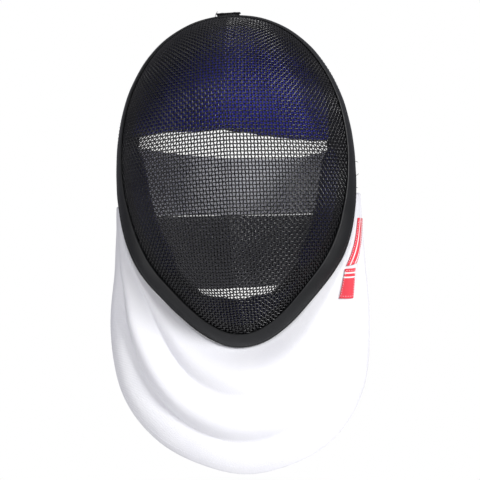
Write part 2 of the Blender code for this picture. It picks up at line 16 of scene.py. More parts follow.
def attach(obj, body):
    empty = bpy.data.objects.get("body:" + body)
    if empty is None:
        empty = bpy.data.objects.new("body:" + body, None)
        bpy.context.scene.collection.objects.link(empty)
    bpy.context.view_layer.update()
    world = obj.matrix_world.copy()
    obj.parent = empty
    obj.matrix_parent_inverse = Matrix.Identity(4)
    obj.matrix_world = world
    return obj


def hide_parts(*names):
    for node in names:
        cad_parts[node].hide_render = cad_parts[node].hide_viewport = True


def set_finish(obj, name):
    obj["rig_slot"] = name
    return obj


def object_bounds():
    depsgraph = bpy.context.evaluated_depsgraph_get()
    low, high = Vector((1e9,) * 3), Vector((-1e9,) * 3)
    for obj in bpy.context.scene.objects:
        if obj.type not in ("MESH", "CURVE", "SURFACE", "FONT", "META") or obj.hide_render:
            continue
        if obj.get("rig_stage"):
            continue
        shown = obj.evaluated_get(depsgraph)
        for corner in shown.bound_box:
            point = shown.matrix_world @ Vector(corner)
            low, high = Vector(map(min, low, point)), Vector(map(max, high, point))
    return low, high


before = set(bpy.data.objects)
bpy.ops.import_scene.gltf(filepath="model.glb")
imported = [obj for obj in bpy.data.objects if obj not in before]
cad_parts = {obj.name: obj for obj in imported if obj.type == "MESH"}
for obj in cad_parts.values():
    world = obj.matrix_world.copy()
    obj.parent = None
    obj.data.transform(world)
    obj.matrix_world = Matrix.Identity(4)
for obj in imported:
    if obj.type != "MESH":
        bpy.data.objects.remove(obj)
cad_box = [list(corner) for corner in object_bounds()]
print("solids, box in mm:", [[round(v * 1000, 1) for v in corner] for corner in cad_box])

# %% [markdown]
# ## The sizes behind the solids
# A dressed piece must lie where its solid lies. The surest way is to repeat the
# formulas that the solids were made from, with the same named sizes, and to
# sample them more finely. Everything is first worked out in mask terms: side,
# depth behind the front of the crease, and height above nose level.

# %% Sizes of the cage and its trim, in metres
HALF_WIDTH = 0.0980
RISE = 0.1470
DROP = 0.1335
CAGE_DEPTH = 0.1110
CAGE_WALL = 0.0020
CREASE_SLOPE = math.tan(math.radians(23.5))
TRIM_WIDTH = 0.0170
TRIM_WALL = 0.0014
SEAM_GAP = 0.00035
FOLD_DEPTH = 0.0022
SLOT_GAP = 0.0008
INNER_LIP_START = 0.0030
TRIM_BACK_ROUND = 0.0017
TINY_STEP = 1e-3

RimRow = namedtuple("RimRow", "side height depth fullness roll flare")
RIM_ROWS = (
    RimRow(0.000, -1.000, 0.600, 2.75, 1.00, 46.0),
    RimRow(0.458, -0.806, 0.635, 2.85, 1.00, 47.0),
    RimRow(0.752, -0.552, 0.705, 3.10, 1.00, 52.0),
    RimRow(0.922, -0.280, 0.760, 3.40, 1.00, 43.0),
    RimRow(1.000, 0.000, 0.800, 3.60, 1.00, 26.0),
    RimRow(0.998, 0.284, 0.850, 3.50, 0.96, 17.0),
    RimRow(0.870, 0.600, 0.910, 3.30, 0.88, 13.0),
    RimRow(0.535, 0.885, 0.970, 3.10, 0.80, 9.0),
    RimRow(0.000, 1.000, 1.000, 3.00, 0.75, 5.0),
)
BACKWARDS = np.array([0.0, 1.0, 0.0])


# %% The rim as smooth sums of waves
def column(rows, name):
    return np.array([getattr(row, name) for row in rows])


def wave_weights(values, mirrored=False):
    """Weights of the cosines, or of the sines for a value that changes sign
    from side to side, whose sum passes through one value a row."""
    steps = np.arange(len(values))
    turns = steps * math.pi / (len(values) - 1)
    wave = np.sin if mirrored else np.cos
    return np.linalg.lstsq(wave(np.outer(turns, steps)), values, rcond=None)[0]


HEIGHTS = column(RIM_ROWS, "height")
RIM_WEIGHTS = np.stack([
    wave_weights(np.where(HEIGHTS < 0, HEIGHTS * DROP, HEIGHTS * RISE)),
    wave_weights(column(RIM_ROWS, "depth") * CAGE_DEPTH),
    wave_weights(column(RIM_ROWS, "fullness")),
    wave_weights(column(RIM_ROWS, "roll")),
    wave_weights(np.radians(column(RIM_ROWS, "flare"))),
], axis=1)
SIDE_WEIGHTS = wave_weights(column(RIM_ROWS, "side") * HALF_WIDTH, mirrored=True)
Rim = namedtuple("Rim", "side up depth fullness roll flare")


def rim_at(angles):
    """The line under the trim's front edge: at each angle, turned from straight
    down through the viewer's right to the crown, a weighted sum of waves."""
    turned = np.multiply.outer(angles, np.arange(len(RIM_ROWS)))
    up, depth, fullness, roll, flare = np.moveaxis(np.cos(turned) @ RIM_WEIGHTS, -1, 0)
    return Rim(np.sin(turned) @ SIDE_WEIGHTS, up, depth, fullness, roll, flare)


print("rim at nose level, half width:", round(float(rim_at(np.array(math.pi / 2)).side), 4))


# %% The face of the cage, and the strip of trim along it
def stack(side, depth, up):
    return np.stack(np.broadcast_arrays(side, depth, up), axis=-1)


def unit(vectors):
    return vectors / np.maximum(np.linalg.norm(vectors, axis=-1, keepdims=True), 1e-12)


def dome(angles, share, softening=0.0):
    """Side and height are shares of the rim's. Depth is the crease's slope
    times the side, plus a swell that is 1 - (1 - share to the fullness) to
    the roll of what is left of the rim's depth."""
    rim = rim_at(angles)
    side = rim.side * share
    slope = CREASE_SLOPE * np.hypot(side, softening)
    rim_slope = CREASE_SLOPE * np.hypot(rim.side, softening)
    swell = 1.0 - np.maximum(1.0 - share**rim.fullness, 0.0)**rim.roll
    return stack(side, slope + (rim.depth - rim_slope) * swell, rim.up * share)


def dome_inward(angles, share, softening=0.0):
    """Unit direction into the mask: the cross product of the way round the
    rim and the way out to it."""
    ahead = dome(angles + TINY_STEP, share, softening)
    behind = dome(angles - TINY_STEP, share, softening)
    outward = dome(angles, share, softening) - dome(angles, share - TINY_STEP, softening)
    return unit(np.cross(ahead - behind, outward))


TrimFrame = namedtuple("TrimFrame", "front along out")


def trim_frame(angles):
    """The trim's front line, the direction across the strip (outwards turned
    back by the flare) and the direction square out of it."""
    rim = rim_at(angles)
    ahead = rim_at(angles + TINY_STEP)
    behind = rim_at(angles - TINY_STEP)
    outwards = unit(stack(ahead.up - behind.up, 0.0, behind.side - ahead.side))
    lean = rim.flare[..., None]
    along = outwards * np.sin(lean) + BACKWARDS * np.cos(lean)
    out = outwards * np.cos(lean) - BACKWARDS * np.sin(lean)
    return TrimFrame(stack(rim.side, rim.depth, rim.up), along, out)


def trim_point(strip, along, out):
    return strip.front + along * strip.along + out * strip.out


# %% Sizes of the padding, which also fix where the origin is
PAD_SEAT_GAP = 0.0005
PAD_SEATED_FROM = 0.70
PAD_CREASE_SOFTENING = 0.0160
PAD_EDGE_INSET = 0.0030
PAD_LEAN = 2.0
FOREHEAD_PAD_THICKNESS = 0.0200
FOREHEAD_PAD_AIR = 0.0080
BROW_HEIGHT = 0.0280
BROW_ARCH = 0.0110
BROW_TILT = 0.100
CHIN_PAD_THICKNESS = 0.0160
SEAT_HEIGHT = 0.0580


def outer_pad_share(angles):
    rim = rim_at(angles)
    return 1.0 - PAD_EDGE_INSET / np.hypot(rim.side, rim.up)


def forehead_low_share(angles):
    """Where each direction crosses a line at brow height, which arches up by
    the cosine of the direction and tilts down to the viewer's right."""
    rim = rim_at(angles)
    middle = rim.up / np.hypot(rim.side, rim.up)
    return (BROW_HEIGHT + BROW_ARCH * middle) / (rim.up + BROW_TILT * rim.side)


def pad_through(inward):
    return unit(inward + PAD_LEAN * BACKWARDS)


def pad_standing(air, way):
    return PAD_SEAT_GAP + air * np.maximum(PAD_SEATED_FROM - way, 0.0) / PAD_SEATED_FROM


def seat_point():
    """The inner face of the forehead's padding, in the middle."""
    angle = np.array([math.pi])
    share = SEAT_HEIGHT / rim_at(angle).up
    pad_share = forehead_low_share(angle)
    way = (share - pad_share) / (outer_pad_share(angle) - pad_share)
    inset = CAGE_WALL + pad_standing(FOREHEAD_PAD_AIR, way)
    inward = dome_inward(angle, share, PAD_CREASE_SOFTENING)
    outer_face = dome(angle, share, PAD_CREASE_SOFTENING) + inset[:, None] * inward
    return (outer_face + FOREHEAD_PAD_THICKNESS * pad_through(inward))[0]


SEAT = seat_point()
print("origin in mask terms, mm:", np.round(SEAT * 1000, 2))

# %% [markdown]
# ## From arrays to meshes
# Two helpers make nearly every piece. One lays a grid of points as a surface
# and gives it a map in metres, so that a weave keeps its real size. The other
# carries a ring of points along many lines at once, which serves for wires,
# threads and rivet heads. Whole arrays go in with `foreach_set`, so ten
# thousand crossings cost no more code than one.


# %% Put arrays into a mesh
def make_mesh(name, points, faces, material, slot, maps=None):
    """Points in mask terms, faces as a list of index arrays with one width
    each, and the map's two numbers for every corner."""
    corners = np.concatenate([part.ravel() for part in faces])
    sizes = np.concatenate([np.full(len(part), part.shape[1]) for part in faces])
    mesh = bpy.data.meshes.new(name)
    mesh.vertices.add(len(points))
    mesh.vertices.foreach_set("co", (points - SEAT).ravel())
    mesh.loops.add(len(corners))
    mesh.loops.foreach_set("vertex_index", corners)
    mesh.polygons.add(len(sizes))
    mesh.polygons.foreach_set("loop_start", np.concatenate([[0], np.cumsum(sizes)[:-1]]))
    mesh.update(calc_edges=True)
    mesh.shade_smooth()
    if maps is not None:
        layer = mesh.uv_layers.new(name="metres")
        layer.uv.foreach_set("vector", maps.astype(np.float32).ravel())
    mesh.materials.append(material)
    piece = bpy.data.objects.new(name, mesh)
    bpy.context.scene.collection.objects.link(piece)
    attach(piece, "root")
    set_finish(piece, slot)
    triangles = int((sizes - 2).sum())
    print(f"{name}: {len(points)} points, {triangles} triangles")
    return piece


def mean_run(points, axis, closed):
    """Mean length run along an axis of the grid up to each line across it."""
    ahead = np.roll(points, -1, axis=axis)
    step = np.linalg.norm(ahead - points, axis=-1).mean(axis=1 - axis)
    step = step if closed else step[:-1]
    return np.concatenate([[0.0], np.cumsum(step)])


def surface(
    name, points, material, slot, closed_rows=False, closed_columns=False, looks=None, capped=True,
):
    """A grid of points, rows by columns, as quads. A closed tube of open
    length gets a face over each end. Looks turns an open sheet's faces."""
    rows, columns = points.shape[:2]
    row, col = np.meshgrid(
        np.arange(rows if closed_rows else rows - 1),
        np.arange(columns if closed_columns else columns - 1), indexing="ij",
    )
    corner_row = np.stack([row, row, row + 1, row + 1], axis=-1).reshape(-1, 4)
    corner_col = np.stack([col, col + 1, col + 1, col], axis=-1).reshape(-1, 4)
    faces = [corner_row % rows * columns + corner_col % columns]
    down = mean_run(points, 0, closed_rows)
    across = mean_run(points, 1, closed_columns)
    maps = [np.stack([across[corner_col], down[corner_row]], axis=-1).reshape(-1, 2)]
    if closed_columns and not closed_rows and capped:
        ring = np.arange(columns)[None]
        faces += [ring[:, ::-1], (rows - 1) * columns + ring]
        maps += [np.zeros((columns, 2)), np.zeros((columns, 2))]
    flat = points.reshape(-1, 3)
    if looks is not None:
        a, b, c = (flat[faces[0][:, k]] for k in range(3))
        if np.cross(b - a, c - a).sum(axis=0) @ np.asarray(looks) < 0.0:
            faces[0] = faces[0][:, ::-1]
            maps[0] = maps[0].reshape(-1, 4, 2)[:, ::-1].reshape(-1, 2)
    piece = make_mesh(name, flat, faces, material, slot, np.concatenate(maps))
    if closed_columns:
        face_outwards(piece)
    return piece


def mesh_points(mesh):
    points = np.empty(len(mesh.vertices) * 3)
    mesh.vertices.foreach_get("co", points)
    return points.reshape(-1, 3)


def face_outwards(piece):
    """Turn a closed mesh over if its volume comes out negative. The volume is
    a sixth of the sum of each triangle's corners' triple product."""
    mesh = piece.data
    mesh.calc_loop_triangles()
    corners = np.empty(len(mesh.loop_triangles) * 3, int)
    mesh.loop_triangles.foreach_get("vertices", corners)
    a, b, c = mesh_points(mesh)[corners].reshape(-1, 3, 3).transpose(1, 0, 2)
    if (a * np.cross(b, c)).sum() < 0.0:
        mesh.flip_normals()


# %% Carry rings of points along many lines
def neighbours(lines):
    """Steps to the next and from the last point on each line, nan past an end."""
    gap = np.full_like(lines[:, :1], np.nan)
    step = np.diff(lines, axis=1)
    return np.concatenate([step, gap], axis=1), np.concatenate([gap, step], axis=1)


def tangents(lines):
    """Along each line: the mean of the steps to both sides, or the one there is."""
    ahead, behind = neighbours(lines)
    mean = np.where(np.isnan(ahead), behind, np.where(np.isnan(behind), ahead, ahead + behind))
    return unit(mean)


def tubes(name, lines, out, radius, sides, material, slot, squash=1.0):
    """Each line's points get a ring in the plane across the line: radius times
    cosine along out plus sine along the third direction. Lines are broken
    where a point is nan, and each broken end is closed by a face."""
    along = tangents(lines)
    whole = ~np.isnan(along[..., 0])
    lift = unit(out - np.sum(out * along, axis=-1, keepdims=True) * along)
    third = np.cross(along, lift)
    turn = np.arange(sides) * 2.0 * math.pi / sides
    size = np.broadcast_to(radius, whole.shape)[..., None, None]
    wheel = squash * np.cos(turn)[:, None] * lift[..., None, :]
    wheel = wheel + np.sin(turn)[:, None] * third[..., None, :]
    rings = lines[..., None, :] + size * wheel
    number = np.full(whole.shape, -1)
    number[whole] = np.arange(whole.sum())
    after = np.roll(number, -1, axis=1)
    before = np.roll(number, 1, axis=1)
    after[:, -1] = -1
    before[:, 0] = -1
    joined = whole & (after >= 0)
    side = np.arange(sides)
    low = number[joined][:, None] * sides
    high = after[joined][:, None] * sides
    ahead = (side + 1) % sides
    faces = [np.stack([low + side, low + ahead, high + ahead, high + side], axis=-1).reshape(-1, 4)]
    for ends, order in ((whole & (before < 0), side[::-1]), (whole & (after < 0), side)):
        faces.append(number[ends][:, None] * sides + order)
    return make_mesh(name, rings[whole].reshape(-1, 3), faces, material, slot)


# %% [markdown]
# ## Finishes
# Every finish is procedural. A cloth is a mix of two close colours by a large
# soft noise, with a bump from a plain weave that follows the map in metres, and
# a finer noise for its fuzz. Smooth finishes read object coordinates instead,
# since nothing on them runs along a thread.


# %% Small helpers for shader nodes
def add(tree, kind, settings=None, **inputs):
    """A node whose inputs are set to a value or joined to another's output."""
    made = tree.nodes.new(kind)
    for name, value in (settings or {}).items():
        setattr(made, name, value)
    for name, value in inputs.items():
        numbered = name[0] == "i" and name[1:].isdigit()
        socket = made.inputs[int(name[1:]) if numbered else name.replace("_", " ")]
        if isinstance(value, bpy.types.NodeSocket):
            tree.links.new(value, socket)
        else:
            socket.default_value = value
    return made


def math_node(tree, operation, first, second=0.0):
    return add(tree, "ShaderNodeMath", {"operation": operation}, i0=first, i1=second).outputs[0]


def blank(name):
    material = bpy.data.materials.new(name)
    material.use_nodes = True
    tree = material.node_tree
    return material, tree, tree.nodes["Principled BSDF"], add(tree, "ShaderNodeTexCoord")


def noise(tree, where, scale, detail=2.0):
    return add(tree, "ShaderNodeTexNoise", Vector=where, Scale=scale, Detail=detail).outputs["Fac"]


def mix_colour(tree, share, first, second):
    mix = add(tree, "ShaderNodeMix", {"data_type": "RGBA"}, Factor=share)
    for socket, value in ((mix.inputs[6], first), (mix.inputs[7], second)):
        if isinstance(value, bpy.types.NodeSocket):
            tree.links.new(value, socket)
        else:
            socket.default_value = (*value, 1.0)
    return mix.outputs[2]


def bump(tree, height, distance, below=None):
    """Height times distance moves the shading, on top of any bump below it."""
    made = add(tree, "ShaderNodeBump", Height=height, Distance=distance, Strength=1.0)
    if below is not None:
        tree.links.new(below, made.inputs["Normal"])
    return made.outputs["Normal"]


def ramp(tree, share, low, high):
    made = add(tree, "ShaderNodeMapRange", {"clamp": True}, Value=share)
    made.inputs["From Min"].default_value = low
    made.inputs["From Max"].default_value = high
    return made.outputs[0]


def weave_height(tree, where, pitch):
    """A plain weave: the sine of the way across times the sine of the way down."""
    scaled = add(tree, "ShaderNodeVectorMath", {"operation": "SCALE"}, i0=where, Scale=math.pi / pitch)
    parts = add(tree, "ShaderNodeSeparateXYZ", i0=scaled.outputs[0])
    waves = [math_node(tree, "SINE", parts.outputs[k]) for k in (0, 1)]
    return math_node(tree, "MULTIPLY", *waves)


# %% Cloths
CLOTH_FUZZ = 0.0002
CLOTH_FUZZ_SCALE = 900.0


def cloth(name, light, shade, pitch, depth, patch=22.0, sheen=0.2):
    """Two close colours in patches, the lighter one more where a thread lies
    on top, a painted highlight on the weave's crowns with painted shade in
    its dips, and the weave's bump over that of the fuzz."""
    material, tree, shader, where = blank(name)
    patches = ramp(tree, noise(tree, where.outputs["Object"], patch, 4.0), 0.35, 0.65)
    height = weave_height(tree, where.outputs["UV"], pitch)
    colour = mix_colour(tree, patches, shade, light)
    # painted highlight: the colour lightens where the weave's bump is highest, painted shade in the dips
    thread = ramp(tree, height, -1.0, 1.0)
    colour = mix_colour(tree, math_node(tree, "MULTIPLY", thread, 0.35), colour, light)
    tree.links.new(colour, shader.inputs["Base Color"])
    soft = bump(tree, noise(tree, where.outputs["Object"], CLOTH_FUZZ_SCALE, 3.0), CLOTH_FUZZ)
    tree.links.new(bump(tree, height, depth, below=soft), shader.inputs["Normal"])
    shader.inputs["Roughness"].default_value = 0.85
    shader.inputs["Sheen Weight"].default_value = sheen
    return material


bib_cloth = cloth(
    "bib_cloth", (0.86, 0.86, 0.88), (0.82, 0.82, 0.86), 0.0006, 0.00008, patch=14.0, sheen=0.05,
)
grey_elastic = cloth("grey_elastic", (0.66, 0.66, 0.69), (0.50, 0.50, 0.53), 0.0010, 0.00020)
dark_elastic = cloth("dark_elastic", (0.150, 0.150, 0.160), (0.095, 0.095, 0.104), 0.0010, 0.00020)
print("cloths:", [m.name for m in bpy.data.materials if "cloth" in m.name or "elastic" in m.name])


# %% Coats, coated fabric, thread and steel
PATCH_SCALE = 40.0


def smooth_finish(name, light, shade, rough, grain, grain_scale, metal=0.0):
    """Two close colours in patches, a roughness that wanders between two
    values four times faster, and a fine noise for the grain."""
    material, tree, shader, where = blank(name)
    place = where.outputs["Object"]
    patches = ramp(tree, noise(tree, place, PATCH_SCALE, 3.0), 0.35, 0.65)
    tree.links.new(mix_colour(tree, patches, shade, light), shader.inputs["Base Color"])
    spread = add(tree, "ShaderNodeMapRange", Value=noise(tree, place, PATCH_SCALE * 4.0))
    spread.inputs["To Min"].default_value = rough[0]
    spread.inputs["To Max"].default_value = rough[1]
    tree.links.new(spread.outputs[0], shader.inputs["Roughness"])
    tree.links.new(bump(tree, noise(tree, place, grain_scale, 3.0), grain), shader.inputs["Normal"])
    shader.inputs["Metallic"].default_value = metal
    return material


def grained(name, light, shade, rough, cell, depth, specular):
    """Coated fabric: the cracks between small cells pressed into the surface."""
    material, tree, shader, where = blank(name)
    place = where.outputs["Object"]
    cells = add(
        tree, "ShaderNodeTexVoronoi", {"feature": "DISTANCE_TO_EDGE"}, Vector=place, Scale=1.0 / cell,
    ).outputs["Distance"]
    pressed = ramp(tree, cells, 0.0, 0.25)
    patches = ramp(tree, noise(tree, place, 30.0, 4.0), 0.35, 0.65)
    tree.links.new(mix_colour(tree, patches, shade, light), shader.inputs["Base Color"])
    soft = bump(tree, noise(tree, place, 60.0, 2.0), 0.0006)
    tree.links.new(bump(tree, pressed, depth, below=soft), shader.inputs["Normal"])
    shader.inputs["Roughness"].default_value = rough
    shader.inputs["Specular IOR Level"].default_value = specular
    return material


powder_coat = smooth_finish(
    "powder_coat", (0.007, 0.007, 0.008), (0.003, 0.003, 0.0035), (0.16, 0.24), 0.00004, 2600.0,
)
trim_skin = grained(
    "trim_skin", (0.0075, 0.0080, 0.0085), (0.0050, 0.0055, 0.0060), 0.42, 0.0009, 0.00004, specular=0.36,
)
# near-black cloth of the lining strip, partly painted shade behind the rim's outline
black_cloth_and_painted_shade = cloth(
    "black_cloth_and_painted_shade", (0.012, 0.012, 0.014), (0.006, 0.006, 0.008), 0.0008, 0.00010, sheen=0.05,
)
black_steel = smooth_finish(
    "black_steel", (0.024, 0.024, 0.026), (0.012, 0.012, 0.013), (0.28, 0.42), 0.00002, 1500.0, metal=0.3,
)
black_thread = smooth_finish(
    "black_thread", (0.022, 0.022, 0.024), (0.012, 0.012, 0.013), (0.65, 0.8), 0.00008, 4000.0,
)
white_thread = smooth_finish(
    "white_thread", (0.84, 0.84, 0.88), (0.76, 0.76, 0.82), (0.7, 0.85), 0.00008, 4000.0,
)
rivet_steel = smooth_finish(
    "rivet_steel", (0.10, 0.10, 0.10), (0.06, 0.06, 0.06), (0.25, 0.40), 0.00002, 1500.0, metal=0.9,
)
print("finishes so far:", len(bpy.data.materials))

# %% [markdown]
# ## The cage of woven wire
# A real cage is a flat sheet of crimped steel wire, pressed into shape. Its
# wires can't stretch, but their crossings can turn like hinges, so a square of
# wire becomes a diamond on the cheeks. A texture of holes would not bend that
# way, and would have no depth from the side. Here every wire is real: a net
# whose crossings all lie one pitch from their neighbours, found outwards from
# the crease and from the level wire at nose height.

# %% The face in flat coordinates
WIRE = 0.00119             # 1.0 mm of steel with its powder coat
PITCH = 0.0031
REACH_UNDER_TRIM = 0.20    # metres run under the trim for each further step of one
WIRE_HIDDEN = 0.0090       # the wires end this far inside the trim's fold
PITCH_MISS = 0.01          # a crossing that misses by more of a pitch is left out
BIGGEST_MOVE = 0.03        # of the flat numbers, in one round


def face_point(flat):
    """The direction of the two flat numbers is the turn round the rim and
    their length is the way out: 1 at the trim's front edge, and on from there
    straight along under the trim."""
    turn = np.arctan2(flat[..., 0], -flat[..., 1])
    way = np.hypot(flat[..., 0], flat[..., 1])
    share = 1.0 - (1.0 - np.minimum(way, 1.0))**(1.0 / rim_at(turn).roll)
    beyond = np.maximum(way - 1.0, 0.0)[..., None] * REACH_UNDER_TRIM
    return dome(turn, share) + beyond * trim_frame(turn).along


def hidden_run(flat):
    return (np.hypot(flat[..., 0], flat[..., 1]) - 1.0) * REACH_UNDER_TRIM


def even_steps(direction):
    """Flat numbers along a straight direction, one pitch apart on the face."""
    fine = np.linspace(0.0, 1.0 + 2.0 * WIRE_HIDDEN / REACH_UNDER_TRIM, 3000)[:, None] * np.asarray(direction)
    step = np.linalg.norm(np.diff(face_point(fine), axis=0), axis=1)
    run = np.concatenate([[0.0], np.cumsum(step)])
    at = np.arange(0.0, run[-1], PITCH)
    return np.stack([np.interp(at, run, fine[:, k]) for k in (0, 1)], axis=-1)


def one_pitch_from(first, second, flat, rounds=8):
    """Newton's way to the point one pitch from two others: each round moves
    the flat numbers by what the two distances are out, through their slopes."""
    nudge = 1e-5
    for _ in range(rounds):
        here = face_point(flat)
        slopes = []
        for k in (0, 1):
            step = np.zeros(2)
            step[k] = nudge
            slopes.append((face_point(flat + step) - face_point(flat - step)) / (2.0 * nudge))
        out = []
        rows = []
        for other in (first, second):
            out.append(np.linalg.norm(here - other, axis=-1) - PITCH)
            rows.append([np.sum(unit(here - other) * slope, axis=-1) for slope in slopes])
        (a, b), (c, d) = rows
        spread = a * d - b * c
        spread = np.where(np.abs(spread) < 1e-9, 1e-9, spread)
        move = np.stack([out[0] * d - out[1] * b, a * out[1] - c * out[0]], axis=-1) / spread[:, None]
        reach = np.linalg.norm(move, axis=-1, keepdims=True)
        flat = flat - move * np.minimum(1.0, BIGGEST_MOVE / np.maximum(reach, 1e-12))
    return flat


# %% Lay the net
def quarter(upright, level):
    """One quarter of the net, diagonal by diagonal, from its two first wires."""
    net = np.full((len(upright), len(level), 2), np.nan)
    net[:, 0] = upright
    net[0] = level
    for diagonal in range(2, len(upright) + len(level) - 1):
        row = np.arange(max(1, diagonal - len(level) + 1), min(len(upright) - 1, diagonal - 1) + 1)
        col = diagonal - row
        known = ~np.isnan(net[row - 1, col, 0] + net[row, col - 1, 0] + net[row - 1, col - 1, 0])
        row, col = row[known], col[known]
        if not len(row):
            continue
        below, beside, corner = net[row - 1, col], net[row, col - 1], net[row - 1, col - 1]
        first, second = face_point(below), face_point(beside)
        found = one_pitch_from(first, second, below + beside - corner)
        miss = np.abs(np.linalg.norm(face_point(found) - first, axis=-1) - PITCH)
        found[(hidden_run(found) > WIRE_HIDDEN) | (miss > PITCH * PITCH_MISS)] = np.nan
        net[row, col] = found
    return net


def whole_net():
    """Upper and lower quarter on the viewer's right, then both mirrored."""
    level = even_steps((1.0, 0.0))
    upper = quarter(even_steps((0.0, 1.0)), level)
    lower = quarter(even_steps((0.0, -1.0)), level)
    right = np.concatenate([lower[:0:-1], upper])
    left = right[:, :0:-1] * np.array([-1.0, 1.0])
    return np.concatenate([left, right], axis=1)


net = whole_net()
crossings = np.full(net.shape[:2] + (3,), np.nan)
laid = ~np.isnan(net[..., 0])
crossings[laid] = face_point(net[laid])
print("wires across:", net.shape[0], "wires down:", net.shape[1], "crossings:", int(laid.sum()))

# %% [markdown]
# A plain weave takes each wire over one neighbour and under the next. Two rings
# a pitch, a quarter pitch to either side of a crossing, give the flat crown and
# the slanting run between crowns that a crimped wire has. The wires go up and
# down by half their thickness, so that two crossing wires just touch and
# together are about as thick as the solid's wall.


# %% Crimp the wires and make them
def crimped(points, out, over):
    """Points a quarter pitch before and after each crossing along axis 1,
    lifted by half a wire where the wire passes over, and dropped where under."""
    ahead, behind = neighbours(points)
    level = points - out * CAGE_WALL / 2.0 + out * (over * WIRE / 2.0)[..., None]
    pairs = np.stack([level - behind / 4.0, level + ahead / 4.0], axis=2)
    shape = (points.shape[0], points.shape[1] * 2, 3)
    return pairs.reshape(shape), np.repeat(out, 2, axis=1)


upright = crossings.transpose(1, 0, 2)
face_out = unit(np.cross(tangents(crossings), tangents(upright).transpose(1, 0, 2)))
row, col = np.indices(laid.shape)
over = np.where((row + col) % 2, 1.0, -1.0)
across_lines, across_out = crimped(crossings, face_out, over)
down_lines, down_out = crimped(upright, face_out.transpose(1, 0, 2), -over.T)
WIRE_SIDES = 6
half_row, half_col = net.shape[0] // 2, net.shape[1] // 2
wire_sets = {
    "wires_across_lower": (across_lines[:half_row], across_out[:half_row]),
    "wires_across_upper": (across_lines[half_row:], across_out[half_row:]),
    "wires_down_left": (down_lines[:half_col], down_out[:half_col]),
    "wires_down_right": (down_lines[half_col:], down_out[half_col:]),
}
for name, (lines, out) in wire_sets.items():
    wires = tubes(name, lines, out, WIRE / 2.0, WIRE_SIDES, powder_coat, "wire")
    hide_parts("mesh_cage")

# %% [markdown]
# ## The trim
# The cut ends of the wires are covered by a strip of coated black fabric, folded
# over the rim and sewn through. It is a profile carried round the rim, as the
# solid's is, but with rounded edges, a slight crown, a groove where the thread
# pulls it down, and a gentle waviness from being sewn by hand round a curve.

# %% The strip
TRIM_STATIONS = 420
FRONT_ROUND = 0.0009
LIP_ROUND = 0.0005
CROWN = 0.0008
GROOVE_AT = 0.0138
GROOVE_HALF = 0.0007
GROOVE_DEPTH = 0.0003
WAVE = 0.00010


def trim_profile():
    """Way across and way out of the strip: a rounded front edge, a crowned top
    with a groove, a rounded back edge, the inner wall and the slot."""
    slot_in = -CAGE_WALL - SLOT_GAP
    top, low = SEAM_GAP + TRIM_WALL, slot_in - TRIM_WALL
    slot_end = TRIM_WIDTH - FOLD_DEPTH + SLOT_GAP
    turn = np.linspace(math.pi, math.pi / 2.0, 5)
    front = np.stack([FRONT_ROUND * (1.0 + np.cos(turn)), SEAM_GAP + TRIM_WALL * np.sin(turn)], axis=1)
    flat = np.linspace(FRONT_ROUND, TRIM_WIDTH - TRIM_BACK_ROUND, 30)[1:-1]
    share = (flat - FRONT_ROUND) / (TRIM_WIDTH - TRIM_BACK_ROUND - FRONT_ROUND)
    groove = np.exp(-((flat - GROOVE_AT) / GROOVE_HALF)**2)
    crown = np.stack([flat, top + CROWN * np.sin(math.pi * share) - GROOVE_DEPTH * groove], axis=1)
    turn = np.linspace(math.pi / 2.0, -math.pi / 2.0, 9)
    middle = (top + low) / 2.0
    back = np.stack([
        TRIM_WIDTH + TRIM_BACK_ROUND * (np.cos(turn) - 1.0), middle + (top - middle) * np.sin(turn),
    ], axis=1)
    inner = np.array([
        (TRIM_WIDTH * 0.66, low),
        (TRIM_WIDTH * 0.40, low),
        (INNER_LIP_START + LIP_ROUND, low),
        (INNER_LIP_START, low + LIP_ROUND),
        (INNER_LIP_START, slot_in),
        (slot_end, slot_in),
        (slot_end, SEAM_GAP),
    ])
    return np.concatenate([front, crown, back, inner])


def waviness(angles):
    """A sum of three slow waves round the rim, each a whole number of turns."""
    return np.sin(7 * angles + 0.4) + 0.7 * np.sin(17 * angles + 2.1) + 0.5 * np.sin(31 * angles + 4.0)


trim_angles = np.arange(TRIM_STATIONS) * 2.0 * math.pi / TRIM_STATIONS
strip = trim_frame(trim_angles)
profile = trim_profile()
outside = (profile[:, 1] > SEAM_GAP + TRIM_WALL / 2.0).astype(float)
wavy = WAVE * waviness(trim_angles)[:, None] * outside
points = (
    strip.front[:, None] + profile[None, :, :1] * strip.along[:, None]
    + (profile[None, :, 1] + wavy)[..., None] * strip.out[:, None]
)
trim = surface("trim_strip", points, trim_skin, "trim", closed_rows=True, closed_columns=True)
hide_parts("edge_trim")


# %% [markdown]
# ## Rows of stitches
# Every seam on the mask is a row of short threads, each one diving into the
# cloth at both ends. A dashed line in a texture would lie flat, so here each
# stitch is a small curved tube, and a whole row is one mesh.

# %% Sew along a path
Thread = namedtuple("Thread", "pitch length thickness")
TRIM_THREAD = Thread(0.0034, 0.0026, 0.0007)
HEM_THREAD = Thread(0.0030, 0.0022, 0.0006)
LABEL_THREAD = Thread(0.0022, 0.0015, 0.0004)
STITCH_REACH = 0.96        # of half a stitch, since its very end has no thickness
STITCH_DIVE = 1.1


